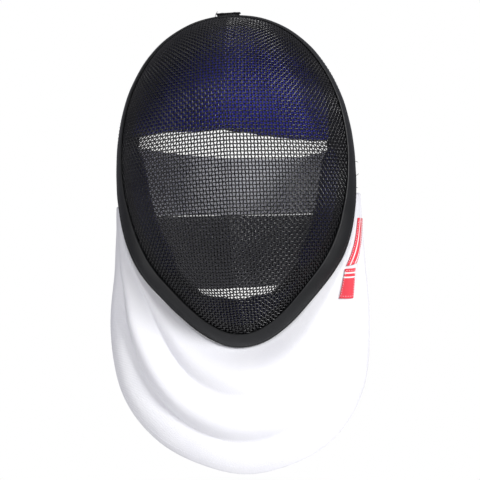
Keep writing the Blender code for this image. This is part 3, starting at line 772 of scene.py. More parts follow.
def stitches(name, path, out, thread, material, slot, closed=False):
    """Short threads at even steps along a path. Each is a line of five points
    whose radius follows the root of a cosine, so that its ends dive in."""
    ends = np.concatenate([path, path[:1]]) if closed else path
    lift = np.concatenate([out, out[:1]]) if closed else out
    run = np.concatenate([[0.0], np.cumsum(np.linalg.norm(np.diff(ends, axis=0), axis=1))])
    count = int(run[-1] / thread.pitch)
    middle = (np.arange(count) + 0.5) * run[-1] / count
    along = np.linspace(-1.0, 1.0, 5) * STITCH_REACH
    at = middle[:, None] + along * thread.length / 2.0
    place, up = (
        np.stack([np.interp(at, run, values[:, k]) for k in range(3)], axis=-1) for values in (ends, lift)
    )
    radius = thread.thickness / 2.0 * np.sqrt(np.cos(along * math.pi / 2.0))
    place = place - up * (1.0 - np.cos(along * STITCH_DIVE))[:, None] * thread.thickness
    return tubes(name, place, up, radius, 6, material, slot, squash=0.7)


groove_out = SEAM_GAP + TRIM_WALL - GROOVE_DEPTH + CROWN * math.sin(math.pi * GROOVE_AT / TRIM_WIDTH)
stitch_path = trim_point(strip, GROOVE_AT, groove_out)
stitches("trim_seam", stitch_path, strip.out, TRIM_THREAD, black_thread, "trim", closed=True)

# %% [markdown]
# ## The bib
# The bib is several layers of strong white cloth with padding between them,
# sewn under the trim and hanging in a U in front of the throat. It is stiff, so
# it doesn't drape like a curtain. It breaks into long crescent folds that start
# below the ears and run round the front. A simulation would find folds of its
# own, so the folds are given by formula: each swells slowly below the crease
# above it and drops fast into the next one.

# %% Sizes and tables of the bib
BIB_HALF_WIDTH = 0.1110
BIB_SWAY = 0.0045
BIB_LENGTH = 0.1070
BIB_HEM_DEPTH = 0.0520
BIB_SIDE_REACH = 0.0820
BIB_WALL = 0.0028
BIB_BELLY = 0.0110
BIB_LEAVE = 0.0120
BIB_END_ANGLE = math.radians(80.5)
FOLD_HEIGHT = 0.0090
RIGHT_FOLD_SHARE = 0.55
RIGHT_FOLD_START = 1 / 3
FOLD_LATENESS = 1.5
HEM_ROUNDING = 0.55
BIB_RIPPLE = 0.00022
STRAP_BACK_DEPTH = 0.2380

BibRow = namedtuple("BibRow", "side fall depth sway belly fold upper_crease lower_crease")
BIB_ROWS = (
    BibRow(0.000, 0.990, 0.00, 0.50, 1.00, 1.00, 0.42, 0.765),
    BibRow(0.385, 0.900, 0.04, 0.90, 1.00, 1.00, 0.35, 0.735),
    BibRow(0.700, 0.700, 0.19, 0.40, 0.95, 1.00, 0.21, 0.645),
    BibRow(0.920, 0.365, 0.42, -0.25, 0.80, 0.90, 0.11, 0.510),
    BibRow(1.015, -0.100, 0.70, -0.70, 0.55, 0.50, 0.07, 0.380),
    BibRow(1.010, -0.590, 0.92, -0.50, 0.30, 0.10, 0.07, 0.340),
    BibRow(0.975, -1.225, 0.98, 0.00, 0.05, 0.00, 0.07, 0.340),
)


# %% The bib's face
def along_rows(values, share, level_start=False):
    """Cubic pieces through the rows, whose slopes are the mean of the slopes
    on either side. A level start joins its own mirror image."""
    values = np.asarray(values, dtype=float)
    slopes = np.gradient(values)
    if level_start:
        slopes[0] = 0.0
    place = np.clip(share, 0.0, 1.0) * (len(values) - 1)
    low = np.clip(np.floor(place).astype(int), 0, len(values) - 2)
    t = place - low
    start = (2 * t**3 - 3 * t**2 + 1) * values[low] + (t**3 - 2 * t**2 + t) * slopes[low]
    end = (3 * t**2 - 2 * t**3) * values[low + 1] + (t**3 - t**2) * slopes[low + 1]
    return start + end


def bib_column(name, far):
    return along_rows(column(BIB_ROWS, name), far, level_start=name != "side")


def bib_base(share, way):
    """From the trim to the hem on a curve with one control point, which the
    belly pushes out square to the cloth and the trim's own slope sets at the
    ears: (1-t)^2 edge + 2t(1-t) control + t^2 hem."""
    far = np.abs(share)
    edge_frame = trim_frame(share * BIB_END_ANGLE)
    edge = trim_point(edge_frame, TRIM_WIDTH + SEAM_GAP, SEAM_GAP)
    trim_low = trim_point(trim_frame(np.zeros(1)), TRIM_WIDTH, 0.0)[0, 2]
    side = np.sign(share) * bib_column("side", far) * BIB_HALF_WIDTH
    side = side + BIB_SWAY * bib_column("sway", far)
    up = trim_low - bib_column("fall", far) * BIB_LENGTH
    hem = stack(side, BIB_HEM_DEPTH + bib_column("depth", far) * BIB_SIDE_REACH, up)
    across = unit(hem - edge)
    away = (edge + hem) / 2.0 - stack(0.0, STRAP_BACK_DEPTH / 2.0, edge[..., 2])
    away = unit(away - np.sum(away * across, axis=-1, keepdims=True) * across)
    belly = bib_column("belly", far)[..., None]
    swollen = (edge + hem) / 2.0 + 2.0 * belly * BIB_BELLY * away
    control = belly * swollen + (1.0 - belly) * (edge + BIB_LEAVE * edge_frame.along)
    t = np.asarray(way)[..., None]
    return (1 - t)**2 * edge + 2 * t * (1 - t) * control + t**2 * hem


def bib_out(share, way):
    way = np.clip(way, TINY_STEP, 1.0 - TINY_STEP)
    round_it = bib_base(share + TINY_STEP, way) - bib_base(share - TINY_STEP, way)
    down_it = bib_base(share, way + TINY_STEP) - bib_base(share, way - TINY_STEP)
    return unit(np.cross(down_it, round_it))


def crease_ways(share):
    far = np.abs(share)
    upper = bib_column("upper_crease", far)
    lower = bib_column("lower_crease", far)
    return np.stack([np.zeros_like(upper), upper, lower, np.ones_like(upper)])


def fold_height(share, way):
    """Within each fold, sin(pi x^1.5) of the way x from one crease to the
    next. The last fold is a quarter of a sine that rounds off at the hem."""
    marks = crease_ways(share)
    fold = (way > marks[1]).astype(int) + (way > marks[2]).astype(int)
    start = np.take_along_axis(marks, fold[None], axis=0)[0]
    end = np.take_along_axis(marks, fold[None] + 1, axis=0)[0]
    inside = np.clip((way - start) / (end - start), 0.0, 1.0)
    swell = np.sin(math.pi * inside**FOLD_LATENESS)
    last = np.sin(math.pi / 2.0 * inside) * (1.0 - HEM_ROUNDING * inside**3)
    swell = np.where(fold == 2, last, swell)
    sided = 1.0 + (RIGHT_FOLD_SHARE - 1.0) * np.clip(share / RIGHT_FOLD_START, 0.0, 1.0)
    length = (end - start) / BIB_ROWS[0].upper_crease
    return FOLD_HEIGHT * length * bib_column("fold", np.abs(share)) * sided * swell


def small_creases(share, way):
    """Slow ripples across the cloth that die out at the trim and the hem."""
    ripple = np.sin(23 * share + 9 * way) * np.sin(7 * share - 13 * way + 1.0)
    ripple = ripple + 0.6 * np.sin(41 * share - 5 * way + 2.0) * np.sin(11 * way + 0.5)
    return BIB_RIPPLE * ripple * np.sin(math.pi * way)


def bib_face(share, way):
    share, way = np.broadcast_arrays(share, way)
    height = fold_height(share, way) + small_creases(share, way)
    return bib_base(share, way) + height[..., None] * bib_out(share, way)


# %% Make the bib
BIB_COLUMNS = 300
ROWS_A_FOLD = 16
BIB_EDGE_ROUND = 0.0008
FORWARDS = -BACKWARDS
share = np.linspace(-1.0, 1.0, BIB_COLUMNS + 1)
marks = crease_ways(share)
part_way = np.linspace(0.0, 1.0, ROWS_A_FOLD + 1)[:, None]
folds = zip(marks[:-1], marks[1:], (0, 1, 1))   # a later fold leaves out the row it shares
way = np.concatenate([start + (end - start) * part_way[skip:] for start, end, skip in folds])
bib_points = bib_face(share, way)
bib = surface("bib_cloth_piece", bib_points, bib_cloth, "white_cloth", looks=FORWARDS)
wall = bib.modifiers.new("layers", "SOLIDIFY")
wall.thickness = BIB_WALL
wall.offset = -1.0
wall.use_even_offset = True
edges = bib.modifiers.new("turned edges", "BEVEL")
edges.width = BIB_EDGE_ROUND
edges.segments = 2
edges.limit_method = "ANGLE"
edges.angle_limit = math.radians(60.0)
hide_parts("bib")


def sheet_size(points):
    """Area as the sum over the grid's cells of the cross product of their
    sides, and the mean lengths both ways."""
    right = np.diff(points, axis=1)[:-1]
    down = np.diff(points, axis=0)[:, :-1]
    area = np.linalg.norm(np.cross(right, down), axis=-1).sum()
    widths = np.linalg.norm(np.diff(points, axis=1), axis=-1).sum(axis=1)
    lengths = np.linalg.norm(np.diff(points, axis=0), axis=-1).sum(axis=0)
    return area, widths.max(), lengths.max()


bib_area, bib_width, bib_length = sheet_size(bib_points)
print("bib: area", round(bib_area, 4), "width", round(bib_width, 3), "length", round(bib_length, 3))

# %% Sew the bib's hem
HEM_SEAM = 0.0065          # from the hem up to the seam
HEM_SEAM_LIFT = 0.0001
column_length = np.linalg.norm(np.diff(bib_points, axis=0), axis=-1).sum(axis=0)
hem_way = 1.0 - HEM_SEAM / column_length
hem_out = bib_out(share, hem_way)
hem_line = bib_face(share, hem_way) + HEM_SEAM_LIFT * hem_out
hem_seam = stitches("bib_hem_seam", hem_line, hem_out, HEM_THREAD, white_thread, "white_cloth")

# %% [markdown]
# ## The labels
# Two red labels are sewn to the side of the bib. They stay plain: a woven red
# ground, pale stripes along the edges and a row of stitches round the border.
# Each is a thin sheet on the bib's own face, between four corners.

# %% A red woven ground with pale stripes
LabelCorners = namedtuple("LabelCorners", "top_front top_back low_front low_back")
LABELS = {
    "label_upper": LabelCorners((0.870, 0.15), (0.905, 0.50), (0.610, 0.10), (0.670, 0.26)),
    "label_lower": LabelCorners((0.595, 0.10), (0.650, 0.26), (0.470, 0.19), (0.540, 0.34)),
}
LABEL_WALL = 0.0006
LABEL_GAP = 0.0006
LABEL_WEAVE = 0.0005
DARK_RED, BRIGHT_RED = (0.70, 0.026, 0.050), (0.80, 0.040, 0.066)
PALE_STRIPE = (0.80, 0.78, 0.78)
ACROSS_MAP, DOWN_MAP = 0, 1
Stripe = namedtuple("Stripe", "direction middle half")
LABEL_STRIPES = {
    "label_upper": (Stripe(ACROSS_MAP, 0.0035, 0.0006), Stripe(ACROSS_MAP, 0.0085, 0.0006)),
    "label_lower": (Stripe(DOWN_MAP, 0.0040, 0.0007), Stripe(DOWN_MAP, 0.0080, 0.0007)),
}


def label_finish(name, stripes):
    """A stripe is a band of the label's own map in metres: where the distance
    from its middle is less than its half width."""
    material, tree, shader, where = blank(name)
    colour = mix_colour(tree, noise(tree, where.outputs["Object"], 120.0), DARK_RED, BRIGHT_RED)
    parts = add(tree, "ShaderNodeSeparateXYZ", i0=where.outputs["UV"])
    for stripe in stripes:
        past = math_node(tree, "SUBTRACT", parts.outputs[stripe.direction], stripe.middle)
        inside = math_node(tree, "LESS_THAN", math_node(tree, "ABSOLUTE", past), stripe.half)
        colour = mix_colour(tree, inside, colour, PALE_STRIPE)
    tree.links.new(colour, shader.inputs["Base Color"])
    height = weave_height(tree, where.outputs["UV"], LABEL_WEAVE)
    tree.links.new(bump(tree, height, 0.00008), shader.inputs["Normal"])
    shader.inputs["Roughness"].default_value = 0.6
    shader.inputs["Sheen Weight"].default_value = 0.15
    return material


# %% Sew the labels on
def label_place(corners, down, across):
    """Straight between the corners both ways: the front edge by way down,
    the back edge by way down, then between them by way across."""
    front = np.array(corners.top_front) * (1 - down) + np.array(corners.low_front) * down
    back = np.array(corners.top_back) * (1 - down) + np.array(corners.low_back) * down
    place = front * (1 - across) + back * across
    return place[..., 0], place[..., 1]


def label_point(corners, down, across, lift):
    share, way = label_place(corners, down[..., None], across[..., None])
    return bib_face(share, way) + lift * bib_out(share, way)


LABEL_FACE = LABEL_GAP + LABEL_WALL
LABEL_SEAM_INSET = 0.07    # of the label's length and width
LABEL_SEAM_LIFT = 0.00005
down, across = np.meshgrid(np.linspace(0.0, 1.0, 40), np.linspace(0.0, 1.0, 14), indexing="ij")
inset = LABEL_SEAM_INSET
t = np.linspace(inset, 1.0 - inset, 40)
low, high = np.full_like(t, inset), np.full_like(t, 1.0 - inset)
border_down, border_across = np.concatenate([
    np.stack([t, low]), np.stack([high, t]), np.stack([t[::-1], high]), np.stack([low, t[::-1]]),
], axis=1)
for name, corners in LABELS.items():
    finish = label_finish(name + "_finish", LABEL_STRIPES[name])
    points = label_point(corners, down, across, LABEL_FACE)
    looks = bib_out(*label_place(corners, np.array([0.5]), np.array([0.5])))
    label = surface(name + "_cloth", points, finish, "label_red", looks=np.ravel(looks))
    wall = label.modifiers.new("wall", "SOLIDIFY")
    wall.thickness = LABEL_WALL
    wall.offset = -1.0
    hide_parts(name)
    line = label_point(corners, border_down, border_across, LABEL_FACE + LABEL_SEAM_LIFT)
    lift = unit(line - label_point(corners, border_down, border_across, LABEL_GAP))
    seam = stitches(name + "_seam", line, lift, LABEL_THREAD, white_thread, "label_red", closed=True)
    area, width, length = sheet_size(points)
    print(name, "area", round(area, 6), "width", round(width, 4), "length", round(length, 4))

# %% [markdown]
# ## The padding
# Foam under brushed cloth lines the forehead, the cheeks and the chin. Padding
# that is only a rounded box looks carved. So each solid is copied, taken in a
# little, given even small faces, and blown up again by a cloth simulation with
# pressure inside. No point may move further than the cloth was taken in, so the
# pad ends up in the space of its solid and clear of the wires.

# %% Blow up a pad from its solid
PAD_WELD = 0.00005
PAD_TAKEN_IN = 0.0007
PAD_VOXEL = 0.0024
PAD_PRESSURE = 4.0
PAD_FRAMES = 20


def evaluated_copy(thing):
    graph = bpy.context.evaluated_depsgraph_get()
    return bpy.data.meshes.new_from_object(thing.evaluated_get(graph))


def puffed(name, node, material, slot):
    """Copy, merge, remesh, take in along the normals, then pressure. No
    point moves further than PAD_TAKEN_IN."""
    pad = bpy.data.objects.new(name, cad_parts[node].data.copy())
    bpy.context.scene.collection.objects.link(pad)
    weld = pad.modifiers.new("weld", "WELD")
    weld.merge_threshold = PAD_WELD
    even = pad.modifiers.new("even faces", "REMESH")
    even.mode = "VOXEL"
    even.voxel_size = PAD_VOXEL
    mesh = evaluated_copy(pad)
    pad.modifiers.clear()
    pad.data = mesh
    normals = np.empty(len(mesh.vertices) * 3)
    mesh.vertices.foreach_get("normal", normals)
    start = mesh_points(mesh) - PAD_TAKEN_IN * normals.reshape(-1, 3)
    mesh.vertices.foreach_set("co", start.ravel())
    mesh.update()
    soft = pad.modifiers.new("foam and cloth", "CLOTH")
    soft.settings.use_pressure = True
    soft.settings.uniform_pressure_force = PAD_PRESSURE
    soft.settings.effector_weights.gravity = 0.0
    soft.settings.quality = 5
    soft.settings.mass = 0.3
    for number in range(1, PAD_FRAMES + 1):
        bpy.context.scene.frame_set(number)
    blown = evaluated_copy(pad)
    pad.modifiers.clear()
    bpy.context.scene.frame_set(1)
    move = mesh_points(blown) - start
    reach = np.linalg.norm(move, axis=1, keepdims=True)
    start = start + move * np.minimum(1.0, PAD_TAKEN_IN / np.maximum(reach, 1e-9))
    mesh.vertices.foreach_set("co", start.ravel())
    mesh.update()
    mesh.shade_smooth()
    mesh.materials.clear()
    mesh.materials.append(material)
    finer = pad.modifiers.new("finer", "SUBSURF")
    finer.levels = 1
    finer.render_levels = 1
    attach(pad, "root")
    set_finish(pad, slot)
    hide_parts(node)
    print(name, len(mesh.vertices), "points before the last subdivision")
    return pad


NAP_SCALE = 1400.0


def brushed(name, light, shade, sheen):
    """Brushed cloth on object coordinates: two colours in patches, a short
    pile of fibres from a fine noise that also lightens the colour where the
    fibres stand highest, a painted highlight, and a noise six times slower
    below it."""
    material, tree, shader, where = blank(name)
    place = where.outputs["Object"]
    patches = ramp(tree, noise(tree, place, 45.0, 4.0), 0.3, 0.7)
    nap_and_painted_highlight = noise(tree, place, NAP_SCALE, 3.0)
    colour = mix_colour(tree, patches, shade, light)
    # painted highlight: the colour lightens where the fibres' bump is highest
    tree.links.new(mix_colour(tree, ramp(tree, nap_and_painted_highlight, 0.4, 0.9), colour, light), shader.inputs["Base Color"])
    slow = bump(tree, noise(tree, place, NAP_SCALE / 6.0, 2.0), 0.0005)
    tree.links.new(bump(tree, nap_and_painted_highlight, 0.0004, below=slow), shader.inputs["Normal"])
    shader.inputs["Roughness"].default_value = 0.9
    shader.inputs["Sheen Weight"].default_value = sheen
    return material


blue_nap = brushed("blue_nap", (0.056, 0.058, 0.580), (0.032, 0.034, 0.380), 0.3)
# navy is the chin padding's own colour; on the cheek pads, whose cloth lies in shadow, the same navy is
# painted shade
navy_nap_and_painted_shade = brushed("navy_nap_and_painted_shade", (0.012, 0.013, 0.100), (0.007, 0.007, 0.056), 0.15)
dark_nap = brushed("dark_nap", (0.050, 0.050, 0.056), (0.028, 0.028, 0.032), 0.3)
puffed("forehead_padding", "forehead_pad", blue_nap, "blue_cloth")
puffed("cheek_padding_left", "cheek_pad_left", navy_nap_and_painted_shade, "navy_cloth")
puffed("cheek_padding_right", "cheek_pad_right", navy_nap_and_painted_shade, "navy_cloth")
puffed("chin_padding", "chin_pad", navy_nap_and_painted_shade, "navy_cloth")
puffed("tongue_padding", "tongue_pad", dark_nap, "dark_elastic")

# %% [markdown]
# ## The lining strip
# Between the padding and the rim a real mask shows no daylight: a strip of
# dark cloth joins the padding to the trim. Here the strip is near-black, and
# that colour is partly painted shade: seen from the front it makes the mesh
# black along its outline, where the shade behind the rim falls. It is a
# ribbon between two curves round the rim.


# %% The strip between padding and trim
LINING_WALL = 0.0008
LINING_ROWS = 7
LINING_SAG = 0.0012
LINING_THROUGH = 0.35      # of the chin padding's thickness
LINING_TUCK = 0.10         # of the way out, under the padding
LINING_UNDER_TRIM = 0.35   # of the trim's width


def under_padding(angles):
    """Inside the padding: off the mesh along its normal by the seat's gap,
    then on through the padding's own way."""
    share = outer_pad_share(angles) - LINING_TUCK
    inward = dome_inward(angles, share, PAD_CREASE_SOFTENING)
    face = dome(angles, share, PAD_CREASE_SOFTENING)
    through = LINING_THROUGH * CHIN_PAD_THICKNESS
    return face + (CAGE_WALL + PAD_SEAT_GAP) * inward + through * pad_through(inward)


def lining_points(angles, across):
    """Straight from inside the padding to the inside of the trim, with a
    sine of slack between them."""
    low = under_padding(angles)
    strip = trim_frame(angles)
    trim_inside = -(CAGE_WALL + SLOT_GAP + TRIM_WALL + LINING_WALL)
    top = trim_point(strip, TRIM_WIDTH * LINING_UNDER_TRIM, trim_inside)
    across = across[:, None, None]
    slack = LINING_SAG * np.sin(math.pi * across)
    return low + (top - low) * across - slack * strip.out


points = lining_points(trim_angles, np.linspace(0.0, 1.0, LINING_ROWS))
# the strip's near-black colour is partly painted shade behind the rim
lining = surface("lining_strip", points, black_cloth_and_painted_shade, "navy_cloth", closed_columns=True, capped=False)
wall = lining.modifiers.new("cloth", "SOLIDIFY")
wall.thickness = LINING_WALL
wall.offset = 0.0
area, around, wide = sheet_size(np.concatenate([points, points[:, :1]], axis=1))
print("lining: area", round(area, 4), "around", round(around, 3), "wide", round(wide, 4))

# %% [markdown]
# ## The elastic straps
# Two wide elastic bands run round the back of the head, pale grey above and
# dark below. Rubber cords inside them show as fine ribs along their length. A
# strap is flat and keeps its shape, so it is laid directly: an oval with full
# corners seen from above, starting from the trim's inner face, with the ribs as
# a cosine across its width.

# %% Lay the straps
STRAP_ROUNDNESS = 0.85
BACK_STRAP_TOP = 0.0290
BACK_STRAP_WIDTH = 0.0535
STRAP_SPACING = 0.0020
EDGE_THREADS = 0.0006       # the bound edges stand out past the solid's
NECK_STRAP_WIDTH = 0.0690
BACK_STRAP_ENDS = (math.radians(112.0), math.radians(74.0))
NECK_STRAP_ENDS = (math.radians(72.0), math.radians(42.0))
BACK_STRAP_TILTS = (0.087, 0.045)
NECK_STRAP_TILTS = (0.045, 0.0)
STRAP_THICKNESS = 0.0014
RIB_PITCH = 0.0036
RIB_HEIGHT = 0.00022
STRAP_COLUMNS = 180
POINTS_A_RIB = 4


def strap_edge(angle, level, tilt, turn):
    """One edge, by the turn from one ear round the back to the other: side
    by its cosine and back by its sine, each to the power of the roundness."""
    strip = trim_frame(np.array([angle]))
    inner_face = -(CAGE_WALL + SLOT_GAP + TRIM_WALL + SEAM_GAP)
    start = trim_point(strip, TRIM_WIDTH - FOLD_DEPTH, inner_face)[0]
    cosine = np.cos(turn)
    back = np.abs(np.sin(turn))**STRAP_ROUNDNESS
    side = start[0] * np.sign(cosine) * np.abs(cosine)**STRAP_ROUNDNESS
    depth = start[1] + (STRAP_BACK_DEPTH - start[1]) * back
    return stack(side, depth, start[2] + (level - tilt * side - start[2]) * back)


def strap_face(ends, top, width, tilts, across, turn):
    """Straight from the upper edge, 0, to the lower, 1."""
    upper = strap_edge(ends[0], top, tilts[0], turn)
    lower = strap_edge(ends[1], top - width, tilts[1], turn)
    return upper + (lower - upper) * across[..., None]


def strap(name, node, ends, top, width, tilts, material, slot):
    ribs = round(width / RIB_PITCH)
    across = np.linspace(0.0, 1.0, ribs * POINTS_A_RIB + 1)[:, None]
    turn = np.linspace(0.0, math.pi, STRAP_COLUMNS + 1)[None]
    across, turn = np.broadcast_arrays(across, turn)
    points = strap_face(ends, top, width, tilts, across, turn)
    right = np.gradient(points, axis=1)
    below = np.gradient(points, axis=0)
    out = unit(np.cross(right, below))
    out = out * np.sign(np.sum(out[:, STRAP_COLUMNS // 2] @ BACKWARDS))
    rib = (np.cos(across * ribs * 2.0 * math.pi) - 1.0) / 2.0
    points = points + (rib * RIB_HEIGHT)[..., None] * out
    band = surface(name, points, material, slot, looks=BACKWARDS)
    wall = band.modifiers.new("elastic", "SOLIDIFY")
    wall.thickness = STRAP_THICKNESS
    wall.offset = -1.0
    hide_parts(node)


neck_top = BACK_STRAP_TOP - BACK_STRAP_WIDTH - STRAP_SPACING
strap(
    "back_strap_band", "back_strap", BACK_STRAP_ENDS, BACK_STRAP_TOP + EDGE_THREADS,
    BACK_STRAP_WIDTH + 2.0 * EDGE_THREADS, BACK_STRAP_TILTS, grey_elastic, "grey_elastic",
)
strap(
    "neck_strap_band", "neck_strap", NECK_STRAP_ENDS, neck_top + EDGE_THREADS,
    NECK_STRAP_WIDTH + EDGE_THREADS, NECK_STRAP_TILTS, dark_elastic, "dark_elastic",
)

# %% [markdown]
# ## The tongue
# A flat spring is riveted to the crown and presses a small pad against the back
# of the head. Its section is a flat rounded bar, carried down the same curve as
# the solid. Rivet heads are short lines whose rings follow a quarter circle.

# %% The spring, its plate and the rivets
TONGUE_WIDTH = 0.0200
TONGUE_THICKNESS = 0.0010
TONGUE_INSET = 0.0042
TONGUE_FALL = 0.0860
TONGUE_BACK_DEPTH = 0.2320
BRACKET_LENGTH = 0.0120
BRACKET_WALL = 0.0010
BRACKET_OVERHANG = 0.0010
SPRING_SQUARENESS = 5.0
PLATE_SQUARENESS = 8.0
RIVET_RADIUS = 0.0024
RIVET_HEIGHT = 0.0007
RIVET_SPACING = 0.0110
SIDEWAYS = np.array([1.0, 0.0, 0.0])
TongueRow = namedtuple("TongueRow", "back down")
TONGUE_ROWS = (
    TongueRow(0.00, 0.00),
    TongueRow(0.16, -0.01),
    TongueRow(0.42, 0.07),
    TongueRow(0.68, 0.24),
    TongueRow(0.88, 0.50),
    TongueRow(0.98, 0.76),
    TongueRow(1.00, 1.00),
)


def bar_section(width, thickness, squareness, points=20):
    """A flat bar with rounded edges: cosine and sine, each to the power of
    two over the squareness."""
    turn = (np.arange(points) + 0.5) * 2.0 * math.pi / points
    across, through = (
        np.sign(wave) * np.abs(wave)**(2.0 / squareness) for wave in (np.cos(turn), np.sin(turn))
    )
    return across * width / 2.0, (through + 1.0) * thickness / 2.0


def carried(path, lift, section):
    """A section's across runs sideways and its through runs along the lift."""
    across, through = section
    return path[:, None] + across[None, :, None] * SIDEWAYS + through[None, :, None] * lift[:, None]


crown = trim_frame(np.array([math.pi]))
start = trim_point(crown, TONGUE_INSET, 2.0 * SEAM_GAP + TRIM_WALL)[0]
share = np.linspace(0.0, 1.0, 110)
back = along_rows(column(TONGUE_ROWS, "back"), share)
drop = along_rows(column(TONGUE_ROWS, "down"), share)
path = stack(0.0, start[1] + back * (TONGUE_BACK_DEPTH - start[1]), start[2] - drop * TONGUE_FALL)
lift = np.cross(unit(np.gradient(path, axis=0)), SIDEWAYS)
lift = lift * np.sign(lift[0, 2])
section = bar_section(TONGUE_WIDTH, TONGUE_THICKNESS, SPRING_SQUARENESS)
shape = carried(path, lift, section)
tongue = surface("tongue_strip", shape, black_steel, "spring_steel", closed_columns=True)
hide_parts("tongue_spring")

plate_low = 2.0 * SEAM_GAP + TRIM_WALL + TONGUE_THICKNESS + SEAM_GAP
plate_start = TONGUE_INSET - BRACKET_OVERHANG
plate_way = np.linspace(plate_start, plate_start + BRACKET_LENGTH, 12)
plate_path = trim_point(crown, plate_way[:, None], plate_low)
plate_lift = np.repeat(crown.out, len(plate_way), axis=0)
section = bar_section(TONGUE_WIDTH + 2.0 * BRACKET_OVERHANG, BRACKET_WALL, PLATE_SQUARENESS)
shape = carried(plate_path, plate_lift, section)
plate = surface("tongue_plate", shape, black_steel, "spring_steel", closed_columns=True)
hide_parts("tongue_bracket")


def rivets(name, centres, axis, radius, height):
    """Heads as tubes along their axis: the ring at angle t stands at height
    times the sine and has the radius times the cosine."""
    t = np.linspace(0.0, math.pi / 2.0 * 0.93, 6)
    lines = centres[:, None] + axis * (height * np.sin(t))[None, :, None]
    return tubes(name, lines, SIDEWAYS, radius * np.cos(t), 16, rivet_steel, "spring_steel")


rivet_side = np.array([-0.5, 0.5]) * RIVET_SPACING
plate_top = trim_point(crown, plate_start + BRACKET_LENGTH / 2.0, plate_low + BRACKET_WALL)[0]
rivets("plate_rivets", plate_top + stack(rivet_side, 0.0, 0.0), crown.out[0], RIVET_RADIUS, RIVET_HEIGHT)

# %% [markdown]
# ## Loose thread ends
# At the crown and on the viewer's right, ends of sewing thread stand up from the
# trim where a seam was cut off. They are few, but the eye finds them at once
# against white. Each is one tube that leaves the trim and curls to a side.

# %% Threads out of the trim
LooseThread = namedtuple("LooseThread", "angle along reach curl")
LOOSE_THREADS = (
    LooseThread(math.radians(184.5), 0.006, 0.0048, 0.0030),
    LooseThread(math.radians(181.5), 0.010, 0.0026, -0.0016),
    LooseThread(math.radians(97.0), 0.014, 0.0028, 0.0012),
    LooseThread(math.radians(90.0), 0.015, 0.0022, -0.0014),
    LooseThread(math.radians(84.0), 0.012, 0.0030, 0.0010),
)
THREAD = 0.00045
THREAD_ROUND = np.array([1.0, 0.3, 0.2])   # along no thread, so it can start every ring
t = np.linspace(0.0, 1.0, 12)


def thread_line(thread):
    """Out of the trim by the reach times t, and sideways by the curl times
    t squared."""
    strip = trim_frame(np.full_like(t, thread.angle))
    side = np.cross(strip.along, strip.out)
    root = trim_point(strip, thread.along, SEAM_GAP + TRIM_WALL)
    return root + (thread.reach * t)[:, None] * strip.out + (thread.curl * t**2)[:, None] * side


lines = np.stack([thread_line(thread) for thread in LOOSE_THREADS])
tubes("loose_threads", lines, THREAD_ROUND, THREAD / 2.0, 6, black_thread, "trim")

# %% [markdown]
# ## The floor
# The mask hangs in front of white, well above the ground. The floor only
# catches light from above and is out of the camera's sight.

# %% A sheet of pale paper
FLOOR_DROP = 1.1
FLOOR_SIZE = 4.0
ring = np.linspace(-FLOOR_SIZE, FLOOR_SIZE, 41)
floor_x, floor_y = np.meshgrid(ring, ring, indexing="ij")
floor_z = cad_box[0][2] - FLOOR_DROP
material, tree, shader, where = blank("floor_paper")
shade = ramp(tree, noise(tree, where.outputs["Object"], 3.0), 0.3, 0.7)
tree.links.new(mix_colour(tree, shade, (0.88, 0.88, 0.885), (0.91, 0.91, 0.912)), shader.inputs["Base Color"])
shader.inputs["Roughness"].default_value = 0.9
paper = stack(floor_x, floor_y + SEAT[1], floor_z + SEAT[2])
floor = surface("floor", paper, material, "white_cloth", looks=(0.0, 0.0, 1.0))
del floor["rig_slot"]
floor["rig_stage"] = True

# %% [markdown]
# ## Light
# The photograph has strong soft light from the viewer's right, which bleaches
# that side of the bib, and a weaker bluish light that fills the folds on the
# left. The camera sees a pure white surrounding. The mask itself feels a dimmer
# one, or else its black wires would turn grey. A small box near the camera
# gives the wires their bright points.

# %% Surroundings and soft boxes
AMBIENT = 0.28
world = bpy.data.worlds.new("white surround")
world.use_nodes = True
bpy.context.scene.world = world
sky = world.node_tree
seen = sky.nodes["Background"]
seen.inputs["Color"].default_value = (1.0, 1.0, 1.0, 1.0)
felt = add(sky, "ShaderNodeBackground", Color=(0.90, 0.89, 1.0, 1.0), Strength=AMBIENT)
rays = add(sky, "ShaderNodeLightPath")
joined = add(
    sky, "ShaderNodeMixShader",
    i0=rays.outputs["Is Camera Ray"], i1=felt.outputs[0], i2=seen.outputs[0],
)
sky.links.new(joined.outputs[0], sky.nodes["World Output"].inputs["Surface"])
SoftBox = namedtuple("SoftBox", "name place size power")
SOFT_BOXES = (
    SoftBox("key", (1.65, -1.45, 0.75), 0.80, 55.0),
    SoftBox("top", (0.1, -0.4, 1.6), 0.5, 4.0),
    SoftBox("fill", (-1.7, -1.4, -0.2), 1.3, 15.0),
    SoftBox("front", (0.5, -2.3, 0.2), 0.3, 9.0),
)
AIM = Vector((0.0, 0.02, -0.10))
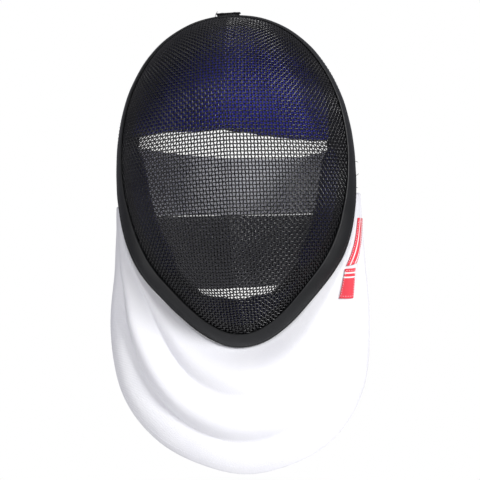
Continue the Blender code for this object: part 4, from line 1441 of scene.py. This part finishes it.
for box in SOFT_BOXES:
    light = bpy.data.lights.new(box.name, "AREA")
    light.size = box.size
    light.energy = box.power
    lamp = bpy.data.objects.new(box.name, light)
    lamp.matrix_world = (
        Matrix.Translation(box.place) @ (Vector(box.place) - AIM).to_track_quat("Z", "Y").to_matrix().to_4x4()
    )
    bpy.context.scene.collection.objects.link(lamp)
bpy.context.scene.view_settings.view_transform = "Standard"
print("soft boxes:", {box.name: box.power for box in SOFT_BOXES})

# %% [markdown]
# ## Camera
# It stands a little to the viewer's right and below the mask, at 1.25 m, and
# the mask is tipped by 3 degrees in the picture. The lens is worked out from
# how many pixels a metre takes up at a metre's distance.

# %% Place the camera
CAMERA_AZIMUTH = math.radians(3.37)
CAMERA_ELEVATION = math.radians(-1.325)
CAMERA_ROLL = math.radians(-3.0)
CAMERA_DISTANCE = 1.25
AIM_SIDE = 0.0069
AIM_UP = -0.0546
IMAGE_WIDTH = 480
FOCAL_PIXELS = 1530.5
SENSOR = 36.0
aim = Vector(np.array([AIM_SIDE, 0.0, AIM_UP]) - SEAT)
toward = Vector((
    math.sin(CAMERA_AZIMUTH) * math.cos(CAMERA_ELEVATION),
    -math.cos(CAMERA_AZIMUTH) * math.cos(CAMERA_ELEVATION),
    math.sin(CAMERA_ELEVATION),
))
camera_data = bpy.data.cameras.new("camera")
camera_data.sensor_width = SENSOR
camera_data.lens = FOCAL_PIXELS / IMAGE_WIDTH * SENSOR
camera = bpy.data.objects.new("camera", camera_data)
turned = toward.to_track_quat("Z", "Y").to_matrix().to_4x4() @ Matrix.Rotation(CAMERA_ROLL, 4, "Z")
camera.matrix_world = Matrix.Translation(aim + toward * CAMERA_DISTANCE) @ turned
bpy.context.scene.collection.objects.link(camera)
bpy.context.scene.camera = camera
print("camera at", [round(v, 3) for v in camera.matrix_world.translation])

# %% [markdown]
# ## Both boxes
# The dressed mask's box is worked out as the solids' box was, and how
# much larger it is each way is printed.

# %% Work out the dressed box and print the growth
dressed_box = [list(corner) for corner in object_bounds()]
growth = [
    round((dressed_box[1][k] - dressed_box[0][k] - cad_box[1][k] + cad_box[0][k]) * 1000, 2) for k in range(3)
]
print("the dressed mask is larger by, in mm:", growth)
